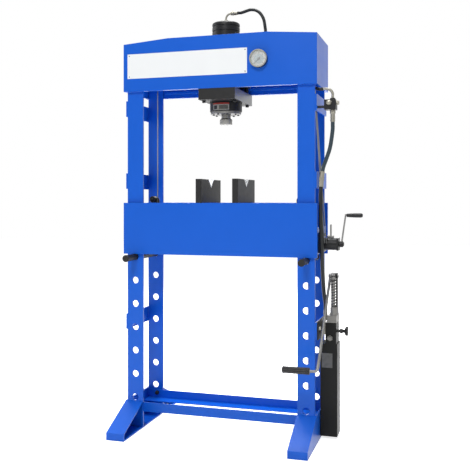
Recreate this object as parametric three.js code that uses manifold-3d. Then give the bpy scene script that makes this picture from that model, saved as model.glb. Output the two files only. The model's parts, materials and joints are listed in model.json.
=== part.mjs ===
// Hydraulic shop press: a two-column frame with a sliding ram cylinder, a lifting bed on pins,
// a hand winch and a foot pump. Millimetres, +Z up, the operator stands on the -Y side.
import * as THREE from 'three';
import { mergeVertices } from 'three/addons/utils/BufferGeometryUtils.js';
import Module from 'manifold-3d';

const wasm = await Module();
wasm.setup();

// ---- Driving dimensions -------------------------------------------------------------------
const plateLength = 940; // crown and bed plates, end to end
const pressDepth = 300; // front face of the front plates to rear face of the rear plates
const crownPlate = 18;
const crownBottom = 1613;
const crownHeight = 245;
const crownEndHeight = 227;
const crownPeakHalf = 242; // half the flat top between the two sloping ends
const bedPlate = 15;
const bedHeight = 245;
const columnWidth = 80;
const columnThickness = 12;
const columnInset = 13; // plate end to the column's outer edge
const tieThickness = 8;
const tieHeight = 75;
const tieLevels = { upper: 1495, middle: 1147, lower: 470 };
const holePitch = 112.5;
const holeDiameter = 32;
const holeCount = 8;
const lowestHole = 145;
const bedHole = 6; // the hole, counted from 0 at the bottom, that holds the bed pins
const pinDiameter = 30;
const pinProud = 110; // pin beyond the front column's face
const footLength = 690;
const footHeight = 128;
const toeHeight = 34;
const footPlate = 6;
const beamBottom = 75;
const beamHeight = 45;
const beamShelf = 65;
const beamWall = 5;
const carriageLength = 178;
const carriageHeight = 52;
const cylinderDiameter = 134;
const cylinderBore = 100;
const cylinderTop = 1945;
const collarDiameter = 155; // the thicker lower end of the cylinder
const collarHeight = 57;
const ramDiameter = 45;
const headDiameter = 60;
const headHeight = 29;
const stemShown = 19; // ram between the gland and the pressure head, ram drawn in
const pistonTop = 1905;
const pistonHeight = 40;
const vPlateThickness = 28;
const vPlateHeight = 112;
const vPlateOffset = 89; // V-plate centre from the press's middle
const notchHalf = 39;
const notchDepth = 36;
const cableDiameter = 5;
const drumRadius = 20; // drum axis to cable centre
const pulleyRadius = 34; // pulley axis to cable centre
const pulleyLevel = 1740;
const pulleyShaft = 10; // radius
const leftFall = 325; // left lifting cable from the press's middle
const rightFall = 368;
const cableClear = 6; // left cable's plane in front of the cylinder
const cableGap = 12; // between the two cables' planes at the pulleys
const winchY = 100;
const winchZ = 893;
const winchReach = 88; // housing beyond its mounting plate
const crankRadius = 131;
const crankReach = 190; // tip of the crank grip beyond the crown's end
const tankWidth = 78;
const tankFront = 100;
const tankDepth = 90;
const tankBottom = 14;
const tankTop = 437;
const hoseDiameter = 18;
const topHoseDiameter = 15;

// Clearances
const seat = 0.3; // between pieces that rest on or are bolted to each other
const slip = 3; // bed plate to column
const running = 0.3; // shaft in its bore, radially
const hoseEnd = 0.6; // between a hose's end and its fitting

// ---- Derived places -----------------------------------------------------------------------
const halfPlate = plateLength / 2;
const gripEnd = halfPlate + crankReach;
const columnOuter = halfPlate - columnInset;
const columnInner = columnOuter - columnWidth;
const columnCentre = columnOuter - columnWidth / 2;
const columnFront = crownPlate + seat;
const columnRear = pressDepth - crownPlate - seat;
const frontBarBack = columnFront + columnThickness;
const rearBarFront = columnRear - columnThickness;
const midDepth = pressDepth / 2;
const crownTop = crownBottom + crownHeight;
const tieInner = columnOuter + seat;
const tieOuter = tieInner + tieThickness;
const pinRadius = pinDiameter / 2;
const pinLevel = lowestHole + bedHole * holePitch - (holeDiameter / 2 - pinRadius) + 2 * seat;
const bedBottom = pinLevel + pinRadius + seat;
const bedTop = bedBottom + bedHeight;
const bedPlateFront = columnFront - slip - bedPlate;
const bedPlateBack = columnRear + slip;
const carriageTop = crownBottom - seat;
const carriageBottom = carriageTop - carriageHeight;
const collarBottom = carriageBottom - collarHeight;
const headTop = collarBottom - stemShown;
const cableLeftY = midDepth - cylinderDiameter / 2 - cableClear;
const cablePlanes = { left: cableLeftY, right: cableLeftY + cableGap };
const drumCables = { left: tieOuter + 24.7, right: tieOuter + 32.7 }; // where each cable leaves the drum
const pulleyX = { right: rightFall + pulleyRadius, left: -leftFall + pulleyRadius };
const riseX = rightFall + 2 * pulleyRadius; // where both cables reach the right pulley
const gripRadius = 10;

// The origin is on the floor, midway between the object's outermost left, right, front and rear.
const press = new THREE.Group();
press.position.set(-(gripEnd - halfPlate) / 2, -midDepth, 0);

// ---- Materials ----------------------------------------------------------------------------
const paint = (color, roughness, metalness) => new THREE.MeshStandardMaterial({ color, roughness, metalness });
const blue = paint(0x1f5fc4, 0.35, 0.1);
const black = paint(0x202020, 0.45, 0.1);
const steel = paint(0xb4b6b4, 0.35, 0.9);
const darkSteel = paint(0x353535, 0.5, 0.6);
const rubber = paint(0x181818, 0.8, 0);
const aluminium = paint(0xa8a69c, 0.5, 0.8);
const white = paint(0xf2f2f0, 0.4, 0);
const glass = paint(0xdfe8ea, 0.05, 0);
const red = paint(0xb02a20, 0.5, 0);

// ---- Shape helpers ------------------------------------------------------------------------
function welded(geometry) {
  const bare = geometry.index ? geometry.toNonIndexed() : geometry.clone();
  for (const name of Object.keys(bare.attributes)) {
    if (name !== 'position') bare.deleteAttribute(name);
  }
  return mergeVertices(bare, 1e-4);
}

function toManifold(geometry) {
  const g = welded(geometry);
  return new wasm.Manifold(new wasm.Mesh({
    numProp: 3,
    vertProperties: new Float32Array(g.attributes.position.array),
    triVerts: new Uint32Array(g.index.array),
  }));
}

function toGeometry(manifold) {
  const mesh = manifold.getMesh();
  const g = new THREE.BufferGeometry();
  g.setAttribute('position', new THREE.BufferAttribute(new Float32Array(mesh.vertProperties), 3));
  g.setIndex(new THREE.BufferAttribute(new Uint32Array(mesh.triVerts), 1));
  return g;
}

const join = (first, ...rest) => toGeometry(rest.reduce((sum, g) => sum.add(toManifold(g)), toManifold(first)));
const cut = (first, ...rest) => toGeometry(rest.reduce((sum, g) => sum.subtract(toManifold(g)), toManifold(first)));

// A block given by its lowest and highest value along X, Y and Z.
function block(x, y, z) {
  const g = new THREE.BoxGeometry(x[1] - x[0], y[1] - y[0], z[1] - z[0]);
  return g.translate((x[0] + x[1]) / 2, (y[0] + y[1]) / 2, (z[0] + z[1]) / 2);
}

// A round bar along one axis, between two values on that axis, through a point.
function bar(axis, radius, from, to, [x, y, z], sides = 20) {
  const g = new THREE.CylinderGeometry(radius, radius, to - from, sides);
  const middle = (from + to) / 2;
  if (axis === 'x') return g.rotateZ(Math.PI / 2).translate(middle, y, z);
  if (axis === 'y') return g.translate(x, middle, z);
  return g.rotateX(Math.PI / 2).translate(x, y, middle);
}

// A turned piece about a vertical axis: points are [radius, height].
function turned(points, sides = 24) {
  return new THREE.LatheGeometry(points.map(([r, h]) => new THREE.Vector2(r, h)), sides).rotateX(Math.PI / 2);
}

// An outline in Y and Z, extruded along X from one value to another.
function sidePlate(points, x0, x1) {
  const shape = new THREE.Shape(points.map(([y, z]) => new THREE.Vector2(y, z)));
  const g = new THREE.ExtrudeGeometry(shape, { depth: x1 - x0, bevelEnabled: false, curveSegments: 8 });
  return g.applyMatrix4(new THREE.Matrix4().set(0, 0, 1, x0, 1, 0, 0, 0, 0, 1, 0, 0, 0, 0, 0, 1));
}

// An outline in X and Z, extruded along Y from one value to another.
function frontPlate(points, y0, y1) {
  const shape = new THREE.Shape(points.map(([x, z]) => new THREE.Vector2(x, z)));
  const g = new THREE.ExtrudeGeometry(shape, { depth: y1 - y0, bevelEnabled: false });
  return g.applyMatrix4(new THREE.Matrix4().set(1, 0, 0, 0, 0, 0, -1, y1, 0, 1, 0, 0, 0, 0, 0, 1));
}

// A round section swept along a smooth curve through the points.
function tube(points, diameter, steps, sides = 10) {
  const curve = new THREE.CatmullRomCurve3(points.map((p) => new THREE.Vector3(...p)), false, 'centripetal');
  const section = Array.from({ length: sides }, (_, i) => {
    const angle = (2 * Math.PI * i) / sides;
    return new THREE.Vector2((diameter / 2) * Math.cos(angle), (diameter / 2) * Math.sin(angle));
  });
  return new THREE.ExtrudeGeometry(new THREE.Shape(section), { steps, extrudePath: curve, bevelEnabled: false });
}

// A coil spring standing on a height, about a vertical axis.
function coil(radius, wire, bottom, top, turns, [x, y]) {
  class Helix extends THREE.Curve {
    getPoint(t, target = new THREE.Vector3()) {
      const angle = 2 * Math.PI * turns * t;
      const height = bottom + wire / 2 + (top - bottom - wire) * t;
      return target.set(x + radius * Math.cos(angle), y + radius * Math.sin(angle), height);
    }
  }
  const section = Array.from({ length: 5 }, (_, i) => {
    const angle = (2 * Math.PI * i) / 5;
    return new THREE.Vector2((wire / 2) * Math.cos(angle), (wire / 2) * Math.sin(angle));
  });
  const options = { steps: Math.round(turns * 8), extrudePath: new Helix(), bevelEnabled: false };
  return new THREE.ExtrudeGeometry(new THREE.Shape(section), options);
}

function add(name, geometry, material) {
  const mesh = new THREE.Mesh(welded(geometry), material);
  mesh.name = name;
  press.add(mesh);
  return mesh;
}

const sides = [['left', -1], ['right', 1]];
// The lowest and highest of two distances from the middle, on one side.
const span = (sign, near, far) => (sign > 0 ? [near, far] : [-far, -near]);

// ---- Frame --------------------------------------------------------------------------------
const columnTop = crownBottom + crownEndHeight - 20;
for (const [side, sign] of sides) {
  for (const [row, front, back] of [['front', columnFront, frontBarBack], ['rear', rearBarFront, columnRear]]) {
    const holes = Array.from({ length: holeCount }, (_, i) => bar('y', holeDiameter / 2, front - 5, back + 5,
      [sign * columnCentre, 0, lowestHole + i * holePitch], 16));
    if (sign > 0) {
      holes.push(bar('y', pulleyShaft + seat, front - 5, back + 5, [pulleyX.right, 0, pulleyLevel], 12));
    }
    const column = block(span(sign, columnInner, columnOuter), [front, back], [footPlate + seat, columnTop]);
    add(`column_${row}_${side}`, cut(column, ...holes), blue);
  }
  for (const [level, bottom] of Object.entries(tieLevels)) {
    const tie = block(span(sign, tieInner, tieOuter), [columnFront, columnRear], [bottom, bottom + tieHeight]);
    add(`tie_plate_${level}_${side}`, tie, blue);
  }
}

const crownOutline = [[-halfPlate, crownBottom], [halfPlate, crownBottom],
  [halfPlate, crownBottom + crownEndHeight], [crownPeakHalf, crownTop], [-crownPeakHalf, crownTop],
  [-halfPlate, crownBottom + crownEndHeight]];
const weld = 1; // how far welded pieces run into each other
const crownInside = [crownPlate - weld, pressDepth - crownPlate + weld];
const crownEnds = sides.map(([, sign]) => block(span(sign, columnOuter + 1, halfPlate), crownInside,
  [crownBottom, crownBottom + crownEndHeight]));
// Rails inside the crown that the cylinder's hanger slides along.
const railSize = 20;
const railBottom = crownBottom + 20;
const railHeight = 10;
const railHalf = columnInner - 12;
const rails = [crownPlate - weld, pressDepth - crownPlate - railSize].map((front) => block([-railHalf, railHalf],
  [front, front + railSize + weld], [railBottom, railBottom + railHeight]));
const pulleyShafts = Object.values(pulleyX).map((x) => bar('y', pulleyShaft, ...crownInside, [x, 0, pulleyLevel], 12));
add('crown', join(frontPlate(crownOutline, 0, crownPlate),
  frontPlate(crownOutline, pressDepth - crownPlate, pressDepth), ...crownEnds, ...rails, ...pulleyShafts), blue);

// Feet: a web outside the columns, a sole under them and sloping toe plates.
const toeFront = midDepth - footLength / 2;
const toeBack = midDepth + footLength / 2;
function foot(sign) {
  const webOutline = [[toeFront, 0], [toeBack, 0], [toeBack, toeHeight], [columnRear, footHeight],
    [columnFront, footHeight], [toeFront, toeHeight]];
  const web = sidePlate(webOutline, ...span(sign, tieInner, tieOuter));
  const wide = span(sign, columnInner, tieOuter);
  const sole = block(wide, [toeFront, toeBack], [0, footPlate]);
  const toe = (tip, inner) => {
    const lip = tip + Math.sign(inner - tip) * footPlate;
    return sidePlate([[tip, 0], [tip, toeHeight], [inner, footHeight], [inner, footHeight - footPlate],
      [lip, toeHeight - footPlate + 2], [lip, 0]], ...wide);
  };
  return join(web, sole, toe(toeFront, columnFront - seat), toe(toeBack, columnRear + seat));
}
for (const [side, sign] of sides) add(`foot_${side}`, foot(sign), blue);

// Base beams: angle bars behind the front columns and in front of the rear ones.
function baseBeam(wallFrom, wallTo, shelfFrom, shelfTo) {
  const along = [-columnOuter + seat, columnOuter - seat];
  const wall = block(along, [wallFrom, wallTo], [beamBottom, beamBottom + beamHeight]);
  return join(wall, block(along, [shelfFrom, shelfTo], [beamBottom, beamBottom + beamWall]));
}
const beamFront = frontBarBack + seat;
const beamRear = rearBarFront - seat;
add('base_beam_front', baseBeam(beamFront, beamFront + beamWall, beamFront, beamFront + beamShelf), blue);
add('base_beam_rear', baseBeam(beamRear - beamWall, beamRear, beamRear - beamShelf, beamRear), blue);

// ---- Crown fittings -----------------------------------------------------------------------
const namePlate = { left: -448, right: 147, bottom: 1674, top: 1791, thickness: 2 };
add('name_plate', block([namePlate.left, namePlate.right], [-namePlate.thickness - seat, -seat],
  [namePlate.bottom, namePlate.top]), white);

const gauge = { x: 204, z: 1735.5, radius: 41, depth: 24, wall: 4, floor: 6 };
const gaugeCase = cut(bar('y', gauge.radius, -gauge.depth, -seat, [gauge.x, 0, gauge.z], 32),
  bar('y', gauge.radius - gauge.wall, -gauge.depth - 1, -gauge.floor, [gauge.x, 0, gauge.z], 32));
add('gauge_case', gaugeCase, steel);
const gaugeGlass = bar('y', gauge.radius - gauge.wall - seat, -gauge.depth + 1, -gauge.depth + 4, [gauge.x, 0, gauge.z], 32);
add('gauge_glass', gaugeGlass, glass);
const needleLength = 28;
const needleY = [-gauge.floor - 5, -gauge.floor - seat];
const needle = join(bar('y', 5, needleY[0], needleY[1], [gauge.x, 0, gauge.z], 16),
  block([gauge.x - 1.2, gauge.x + 1.2], [needleY[0] + 1, needleY[0] + 2.5], [gauge.z - 10, gauge.z + needleLength])
    .translate(-gauge.x, 0, -gauge.z).rotateY(-Math.PI * 0.75).translate(gauge.x, 0, gauge.z));
add('gauge_needle', needle, red);

// ---- Cylinder carriage --------------------------------------------------------------------
const cylinderRadius = cylinderDiameter / 2;
const boreRadius = cylinderBore / 2;
const ramRadius = ramDiameter / 2;
const glandHeight = 12;
const collarRadius = collarDiameter / 2;
const lidHeight = 22;
const groove = 3;
// The carriage: a thick plate under the crown, bolted up through spacers to a hanger that rests on the rails.
const hangerBottom = railBottom + railHeight + seat;
const hangerThickness = 12;
const carriageEnds = [-carriageLength / 2, carriageLength / 2];
const spacerY = [crownPlate + railSize + 12, pressDepth - crownPlate - railSize - 12];
const spacers = sides.flatMap(([, sign]) => spacerY.map((y) => bar('z', 9, carriageTop - 1, hangerBottom + 1,
  [sign * (carriageLength / 2 - 14), y, 0], 16)));
const carriage = cut(join(block(carriageEnds, [0, pressDepth], [carriageBottom, carriageTop]),
  block(carriageEnds, [crownPlate + slip, pressDepth - crownPlate - slip], [hangerBottom, hangerBottom + hangerThickness]),
  ...spacers), bar('z', cylinderRadius + seat, carriageBottom - 5, hangerBottom + hangerThickness + 5, [0, midDepth, 0], 24));
add('carriage', carriage, black);

const bandLevels = [cylinderTop - 22, cylinderTop - 46];
const cylinderProfile = [[boreRadius, collarBottom + glandHeight], [collarRadius, collarBottom + glandHeight],
  [collarRadius, carriageBottom - seat], [cylinderRadius, carriageBottom - seat],
  ...[...bandLevels].reverse().flatMap((z) => [[cylinderRadius, z - 3], [cylinderRadius - groove, z - 3],
    [cylinderRadius - groove, z + 3], [cylinderRadius, z + 3]]),
  [cylinderRadius, cylinderTop - 6], [cylinderRadius - 8, cylinderTop], [0, cylinderTop],
  [0, cylinderTop - lidHeight], [boreRadius, cylinderTop - lidHeight], [boreRadius, collarBottom + glandHeight]];
add('cylinder_body', turned(cylinderProfile).translate(0, midDepth, 0), black);

const glandProfile = [[ramRadius + running, collarBottom], [collarRadius - 4, collarBottom],
  [collarRadius - 4, collarBottom + glandHeight], [boreRadius - running, collarBottom + glandHeight],
  [boreRadius - running, collarBottom + glandHeight + 20], [ramRadius + running, collarBottom + glandHeight + 20],
  [ramRadius + running, collarBottom]];
add('cylinder_gland', turned(glandProfile).translate(0, midDepth, 0), steel);

const pistonRadius = boreRadius - 1;
const ramProfile = [[0, headTop - headHeight + 8], [ramRadius - 6, headTop - headHeight + 8], [ramRadius - 6, headTop + seat],
  [ramRadius, headTop + seat], [ramRadius, pistonTop - pistonHeight], [pistonRadius, pistonTop - pistonHeight],
  [pistonRadius, pistonTop], [0, pistonTop]];
add('ram', turned(ramProfile).translate(0, midDepth, 0), steel);

const headRadius = headDiameter / 2;
const socketRadius = ramRadius - 6 + seat;
const headBottom = headTop - headHeight;
const headProfile = [[0, headBottom], [headRadius - 2, headBottom], [headRadius, headBottom + 2], [headRadius, headTop - 5],
  [headRadius - 5, headTop], [socketRadius, headTop], [socketRadius, headBottom + 8 - seat], [0, headBottom + 8 - seat]];
add('pressure_head', turned(headProfile).translate(0, midDepth, 0), steel);

const springWire = 6;
add('return_spring', coil(boreRadius - 8 - springWire / 2, springWire, collarBottom + glandHeight + 20 + seat,
  pistonTop - pistonHeight - seat, 9, [0, midDepth]), darkSteel);

const valveSize = 52;
const valveReach = 31.7; // valve block from the tie plates' outer face
const hoseLane = frontBarBack + 20.7; // the valve block's middle, and the hoses above and below it
const valve = { x: [tieOuter + valveReach, tieOuter + valveReach + valveSize],
  y: [hoseLane - valveSize / 2, hoseLane + valveSize / 2], z: [crownBottom - 115, crownBottom - 70] };
const portX = valve.x[1] - 17;

// ---- Top hose: steel pipe, ferrule and hose over to the crown --------------------------------
const pipeDiameter = 9;
const unionHeight = 14;
const unionBottom = cylinderTop + seat;
const pipeStart = unionBottom + unionHeight - 2;
const ferruleStart = [24, midDepth, pipeStart + 34];
const ferruleLength = 34;
add('top_pipe', join(bar('z', 12, unionBottom, unionBottom + unionHeight, [0, midDepth, 0], 6),
  tube([[0, midDepth, pipeStart], [0, midDepth, pipeStart + 12], [8, midDepth, pipeStart + 27],
    [ferruleStart[0], midDepth, ferruleStart[2]], [ferruleStart[0] + 6, midDepth, ferruleStart[2]]], pipeDiameter, 12),
  bar('x', 9, ferruleStart[0], ferruleStart[0] + ferruleLength, ferruleStart, 16)), steel);
const hoseStartX = ferruleStart[0] + ferruleLength + hoseEnd;
const hoseY = (share) => hoseLane + share * (midDepth - hoseLane);
const crownSide = halfPlate; // the hose's last points are counted back from the crown's end
const topHosePoints = [[hoseStartX, midDepth, ferruleStart[2]], [hoseStartX + 8, midDepth, ferruleStart[2]],
  [hoseStartX + 18, midDepth, ferruleStart[2]], [100, midDepth, 1997], [122, midDepth, 2002], [147, midDepth, 1998],
  [168, midDepth, 1984], [186, midDepth, 1955], [194, midDepth, 1915], [198, midDepth, 1875], [200, midDepth, 1830],
  [208, midDepth, 1790], [228, hoseY(0.92), 1762], [262, hoseY(0.7), 1746], [294, hoseY(0.41), 1730],
  [320, hoseY(0.17), 1711], [crownSide - 125, hoseY(0.04), 1686], [crownSide - 102, hoseLane, 1663],
  [crownSide - 80, hoseLane, 1644], [crownSide - 55, hoseLane, 1624], [crownSide - 30, hoseLane, 1606],
  [crownSide - 10, hoseLane, 1597], [crownSide + 4, hoseLane, 1594], [crownSide + 12, hoseLane, 1594],
  [crownSide + 20, hoseLane, 1594]];
add('top_hose', tube(topHosePoints, topHoseDiameter, 48, 8), rubber);

// ---- Valve block on the right column, between the two hoses ----------------------------------
const elbowZ = 1594;
add('valve_block', join(block(valve.x, valve.y, valve.z),
  bar('z', 13, valve.z[1] - 5, valve.z[1] + 8, [portX, hoseLane, 0], 6),
  bar('x', 6, tieOuter + seat, valve.x[0] + 5, [0, hoseLane - 12, valve.z[0] + 14], 16)), black);
add('valve_elbow', tube([[crownSide + 20 + hoseEnd, hoseLane, elbowZ], [crownSide + 28, hoseLane, elbowZ],
  [crownSide + 36, hoseLane, elbowZ], [portX - 10, hoseLane, elbowZ - 6], [portX, hoseLane, elbowZ - 22],
  [portX, hoseLane, elbowZ - 30], [portX, hoseLane, valve.z[1] + 8 + hoseEnd]], 12, 14), steel);
const ferruleHeight = 54;
const lowerPort = valve.z[0] - seat;
add('valve_ferrule', join(bar('z', 11.5, lowerPort - 14, lowerPort, [portX, hoseLane, 0], 6),
  bar('z', 10.5, lowerPort - ferruleHeight, lowerPort - 12, [portX, hoseLane, 0], 16)), aluminium);

// ---- Bed ----------------------------------------------------------------------------------
const bedEnds = [-halfPlate, halfPlate];
const bedPieces = [block(bedEnds, [bedPlateBack, bedPlateBack + bedPlate], [bedBottom, bedTop])];
const bedInside = [bedPlateFront + bedPlate - weld, bedPlateBack + weld];
const endBarOuter = columnInner - slip;
const endBarWall = 12;
const spacerInset = 30;
for (const [, sign] of sides) {
  bedPieces.push(block(span(sign, endBarOuter - endBarWall, endBarOuter), bedInside,
    [bedBottom + spacerInset, bedTop - spacerInset]));
  bedPieces.push(bar('y', 20, ...bedInside, [sign * 215, 0, bedBottom + bedHeight / 2]));
}
bedPieces.push(block(span(-1, leftFall - 14, endBarOuter - endBarWall + weld),
  [cablePlanes.left - 14, cablePlanes.left + 14], [bedTop - spacerInset - 20, bedTop - spacerInset]));
add('bed', join(block(bedEnds, [bedPlateFront, bedPlateFront + bedPlate], [bedBottom, bedTop]), ...bedPieces), blue);

function vPlate(x) {
  const back = bedPlateBack + bedPlate;
  const low = bedTop + seat;
  const high = low + vPlateHeight;
  const outline = [[bedPlateFront, low], [back, low], [back, high], [midDepth + notchHalf, high],
    [midDepth, high - notchDepth], [midDepth - notchHalf, high], [bedPlateFront, high]];
  return sidePlate(outline, x - vPlateThickness / 2, x + vPlateThickness / 2);
}
for (const [side, sign] of sides) add(`v_plate_${side}`, vPlate(sign * vPlateOffset), darkSteel);

for (const [side, sign] of sides) {
  const pin = bar('y', pinRadius, columnFront - pinProud + 3, columnRear + 18, [sign * columnCentre, 0, pinLevel]);
  const head = bar('y', pinRadius + 1.5, columnFront - pinProud, columnFront - pinProud + 8,
    [sign * columnCentre, 0, pinLevel]);
  add(`bed_pin_${side}`, join(pin, head), darkSteel);
}

// ---- Winch, pulleys and lifting cables ------------------------------------------------------
const winchPlateZ = [848, 970];
const shaftRadius = 9;
add('winch_plate', block([tieInner, tieOuter], [columnFront, columnRear], winchPlateZ), blue);

// Housing: a flange against the winch plate, a tube around the drum with a slot for the cables, an end flange.
const housing = [tieOuter + seat, tieOuter + winchReach];
const housingBase = 10;
const housingWall = 3;
const flangeSize = 28;
const flangeThickness = 8;
const drumWall = drumRadius + cableDiameter / 2 + 2;
const housingRadius = drumWall + housingWall;
const winchAxis = [0, winchY, winchZ];
const drumRoom = [housing[0] + housingBase, housing[1] - flangeThickness];
const winchHousing = cut(join(block([housing[0], drumRoom[0]], [winchY - 45, winchY + 60], [winchZ - 40, winchZ + 52]),
  bar('x', housingRadius, drumRoom[0] - weld, drumRoom[1] + weld, winchAxis, 32),
  block([drumRoom[1], housing[1]], [winchY - flangeSize, winchY + flangeSize], [winchZ - flangeSize, winchZ + flangeSize])),
bar('x', drumWall, ...drumRoom, winchAxis, 32), bar('x', shaftRadius + running, housing[0] + 4, housing[1] + 5, winchAxis),
block([drumCables.left - 6, drumCables.right + 6], [winchY - drumRadius - 8, winchY - drumRadius + 8],
  [winchZ + 4, winchZ + housingRadius + 5]));
add('winch_housing', winchHousing, black);

// Drum: a core between two flanges, turning on a stub in the housing's base.
const drumEnds = [drumRoom[0] + 1, drumRoom[1] - 8];
const coreRadius = drumRadius - cableDiameter / 2 - seat;
add('winch_drum', join(bar('x', coreRadius, ...drumEnds, winchAxis),
  bar('x', drumWall - 1, drumEnds[0], drumEnds[0] + 3, winchAxis),
  bar('x', drumWall - 1, drumEnds[1] - 3, drumEnds[1], winchAxis),
  bar('x', shaftRadius, housing[0] + 5, drumEnds[0] + 1, winchAxis)), darkSteel);

const pawlX = drumCables.right + 2;
const pawlZ = winchZ + housingRadius + 6;
add('winch_pawl', join(bar('x', 5.5, pawlX, pawlX + 30, [0, winchY, pawlZ], 16),
  block([pawlX + 13, pawlX + 19], [winchY - 6, winchY + 6], [pawlZ, pawlZ + 56])), steel);

const hubX = [housing[1] + 2, housing[1] + 18];
const gripLength = 77;
const armTopX = gripEnd - gripLength;
const arm = sidePlate([[winchY - 8, winchZ], [winchY + 8, winchZ], [winchY + 6, winchZ + crankRadius + 6],
  [winchY - 6, winchZ + crankRadius + 6]], hubX[0] + 6, hubX[0] + 12);
const lean = (armTopX - hubX[0] - 9) / crankRadius;
arm.applyMatrix4(new THREE.Matrix4().makeTranslation(-lean * winchZ, 0, 0));
arm.applyMatrix4(new THREE.Matrix4().set(1, 0, lean, 0, 0, 1, 0, 0, 0, 0, 1, 0, 0, 0, 0, 1));
const gripAxis = [0, winchY, winchZ + crankRadius];
add('winch_crank', join(bar('x', 14, hubX[0], hubX[1], winchAxis, 24),
  bar('x', shaftRadius, drumEnds[1] + 1, hubX[1] + 4, winchAxis), arm,
  bar('x', 4.5, armTopX, gripEnd - 3, gripAxis, 16)), steel);
const gripStart = armTopX + 5;
const gripProfile = [[4.5 + running, 0], [gripRadius - 3, 0], [gripRadius - 1, 8], [gripRadius - 1, 30],
  [gripRadius, gripEnd - gripStart - 6], [gripRadius - 2, gripEnd - gripStart], [0, gripEnd - gripStart],
  [0, gripEnd - gripStart - 3 + seat], [4.5 + running, gripEnd - gripStart - 3 + seat], [4.5 + running, 0]];
add('crank_grip', turned(gripProfile, 20).rotateY(Math.PI / 2).translate(gripStart, gripAxis[1], gripAxis[2]), rubber);

const grooveRadius = pulleyRadius - cableDiameter / 2 - seat;
function pulley(x, planes) {
  const front = Math.min(...planes) - 5;
  const back = Math.max(...planes) + 5;
  const centre = [x, 0, pulleyLevel];
  const flanges = planes.map((y) => cut(bar('y', grooveRadius + 7, y - 5, y + 5, centre),
    cut(bar('y', grooveRadius + 9, y - 3, y + 3, centre), bar('y', grooveRadius, y - 3, y + 3, centre))));
  return cut(join(bar('y', grooveRadius - 1, front, back, centre), ...flanges),
    bar('y', pulleyShaft + running, front - 5, back + 5, centre));
}
add('pulley_right', pulley(pulleyX.right, [cablePlanes.left, cablePlanes.right]), darkSteel);
add('pulley_left', pulley(pulleyX.left, [cablePlanes.left]), darkSteel);

const arc = (centreX, y, from, to, count) => Array.from({ length: count + 1 }, (_, i) => {
  const angle = from + ((to - from) * i) / count;
  return [centreX + pulleyRadius * Math.cos(angle), y, pulleyLevel + pulleyRadius * Math.sin(angle)];
});
// A cable: straight stretches and arcs, with a ring of section points at each vertex.
function cable(points) {
  const count = points.length - 1;
  class Route extends THREE.Curve {
    getPoint(t, target = new THREE.Vector3()) {
      const place = Math.min(Math.max(t, 0), 1) * count;
      const index = Math.min(Math.floor(place + 1e-9), count - 1);
      const from = new THREE.Vector3(...points[index]);
      return target.copy(from).lerp(new THREE.Vector3(...points[index + 1]), place - index);
    }

    getPointAt(t, target) { return this.getPoint(t, target); }

    getSpacedPoints(divisions) {
      return Array.from({ length: divisions + 1 }, (_, i) => this.getPoint(i / divisions));
    }

    getTangentAt(t, target = new THREE.Vector3()) {
      const step = 0.02 / count;
      return target.copy(this.getPoint(Math.min(t + step, 1))).sub(this.getPoint(Math.max(t - step, 0))).normalize();
    }
  }
  const section = Array.from({ length: 8 }, (_, i) => {
    const angle = (2 * Math.PI * i) / 8;
    return new THREE.Vector2((cableDiameter / 2) * Math.cos(angle), (cableDiameter / 2) * Math.sin(angle));
  });
  return new THREE.ExtrudeGeometry(new THREE.Shape(section), { steps: count, extrudePath: new Route(), bevelEnabled: false });
}
const fallTop = pulleyLevel - 60;
const quarter = Math.PI / 2;
const drumFront = winchY - drumRadius;
add('winch_cable_left', cable([[drumCables.left, drumFront, winchZ], [riseX, cablePlanes.left, pulleyLevel - 20],
  ...arc(pulleyX.right, cablePlanes.left, 0, quarter, 8), ...arc(pulleyX.left, cablePlanes.left, quarter, 2 * quarter, 8),
  [-leftFall, cablePlanes.left, fallTop]]), steel);
add('winch_cable_right', cable([[drumCables.right, drumFront, winchZ], [riseX, cablePlanes.right, pulleyLevel - 20],
  ...arc(pulleyX.right, cablePlanes.right, 0, 2 * quarter, 16), [rightFall, cablePlanes.right, fallTop]]), steel);
for (const [side, x] of [['left', -leftFall], ['right', rightFall]]) {
  add(`lift_cable_${side}`, bar('z', cableDiameter / 2, bedTop - spacerInset + seat, fallTop - seat,
    [x, cablePlanes[side], 0], 8), steel);
}

// ---- Foot pump ------------------------------------------------------------------------------
const tankLeft = tieOuter + 1.7;
const tankRight = tankLeft + tankWidth;
const tankBack = tankFront + tankDepth;
const blockX = [tankLeft + 23, tankLeft + 73];
const blockTop = 533;
const headPlate = [blockX[0] + 8, blockX[1] + 1];
const headPlateTop = 566;
const bracket = tieOuter + seat;
add('pump_body', join(block([tankLeft, tankRight], [tankFront, tankBack], [tankBottom, tankTop]),
  block(blockX, [tankFront, tankBack], [tankTop - 1, blockTop])), black);
add('pump_bracket', join(block([bracket, bracket + 7], [22, tankBack], [tieLevels.lower - 4, tieLevels.lower + tieHeight + 4]),
  block([bracket + 5, blockX[0] - seat], [125, 175], [tieLevels.lower + 5, tieLevels.lower + 60]),
  bar('x', 10, bracket + 6, bracket + 16, [0, 40, tieLevels.lower + 46], 6)), black);
add('filler_plug', join(bar('y', 13, tankFront - 6, tankFront - seat, [blockX[0] + 22, 0, tankTop + 27], 6),
  bar('y', 8, tankFront - 12, tankFront - 4, [blockX[0] + 22, 0, tankTop + 27], 16)), steel);

const plungerX = headPlate[0] + 27;
const plungerY = 118;
const barrelTop = 604;
const plungerRadius = 8;
const pumpPort = { x: headPlate[0] - 10.5, y: 120, bottom: headPlateTop - 24, top: headPlateTop + 24 };
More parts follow.
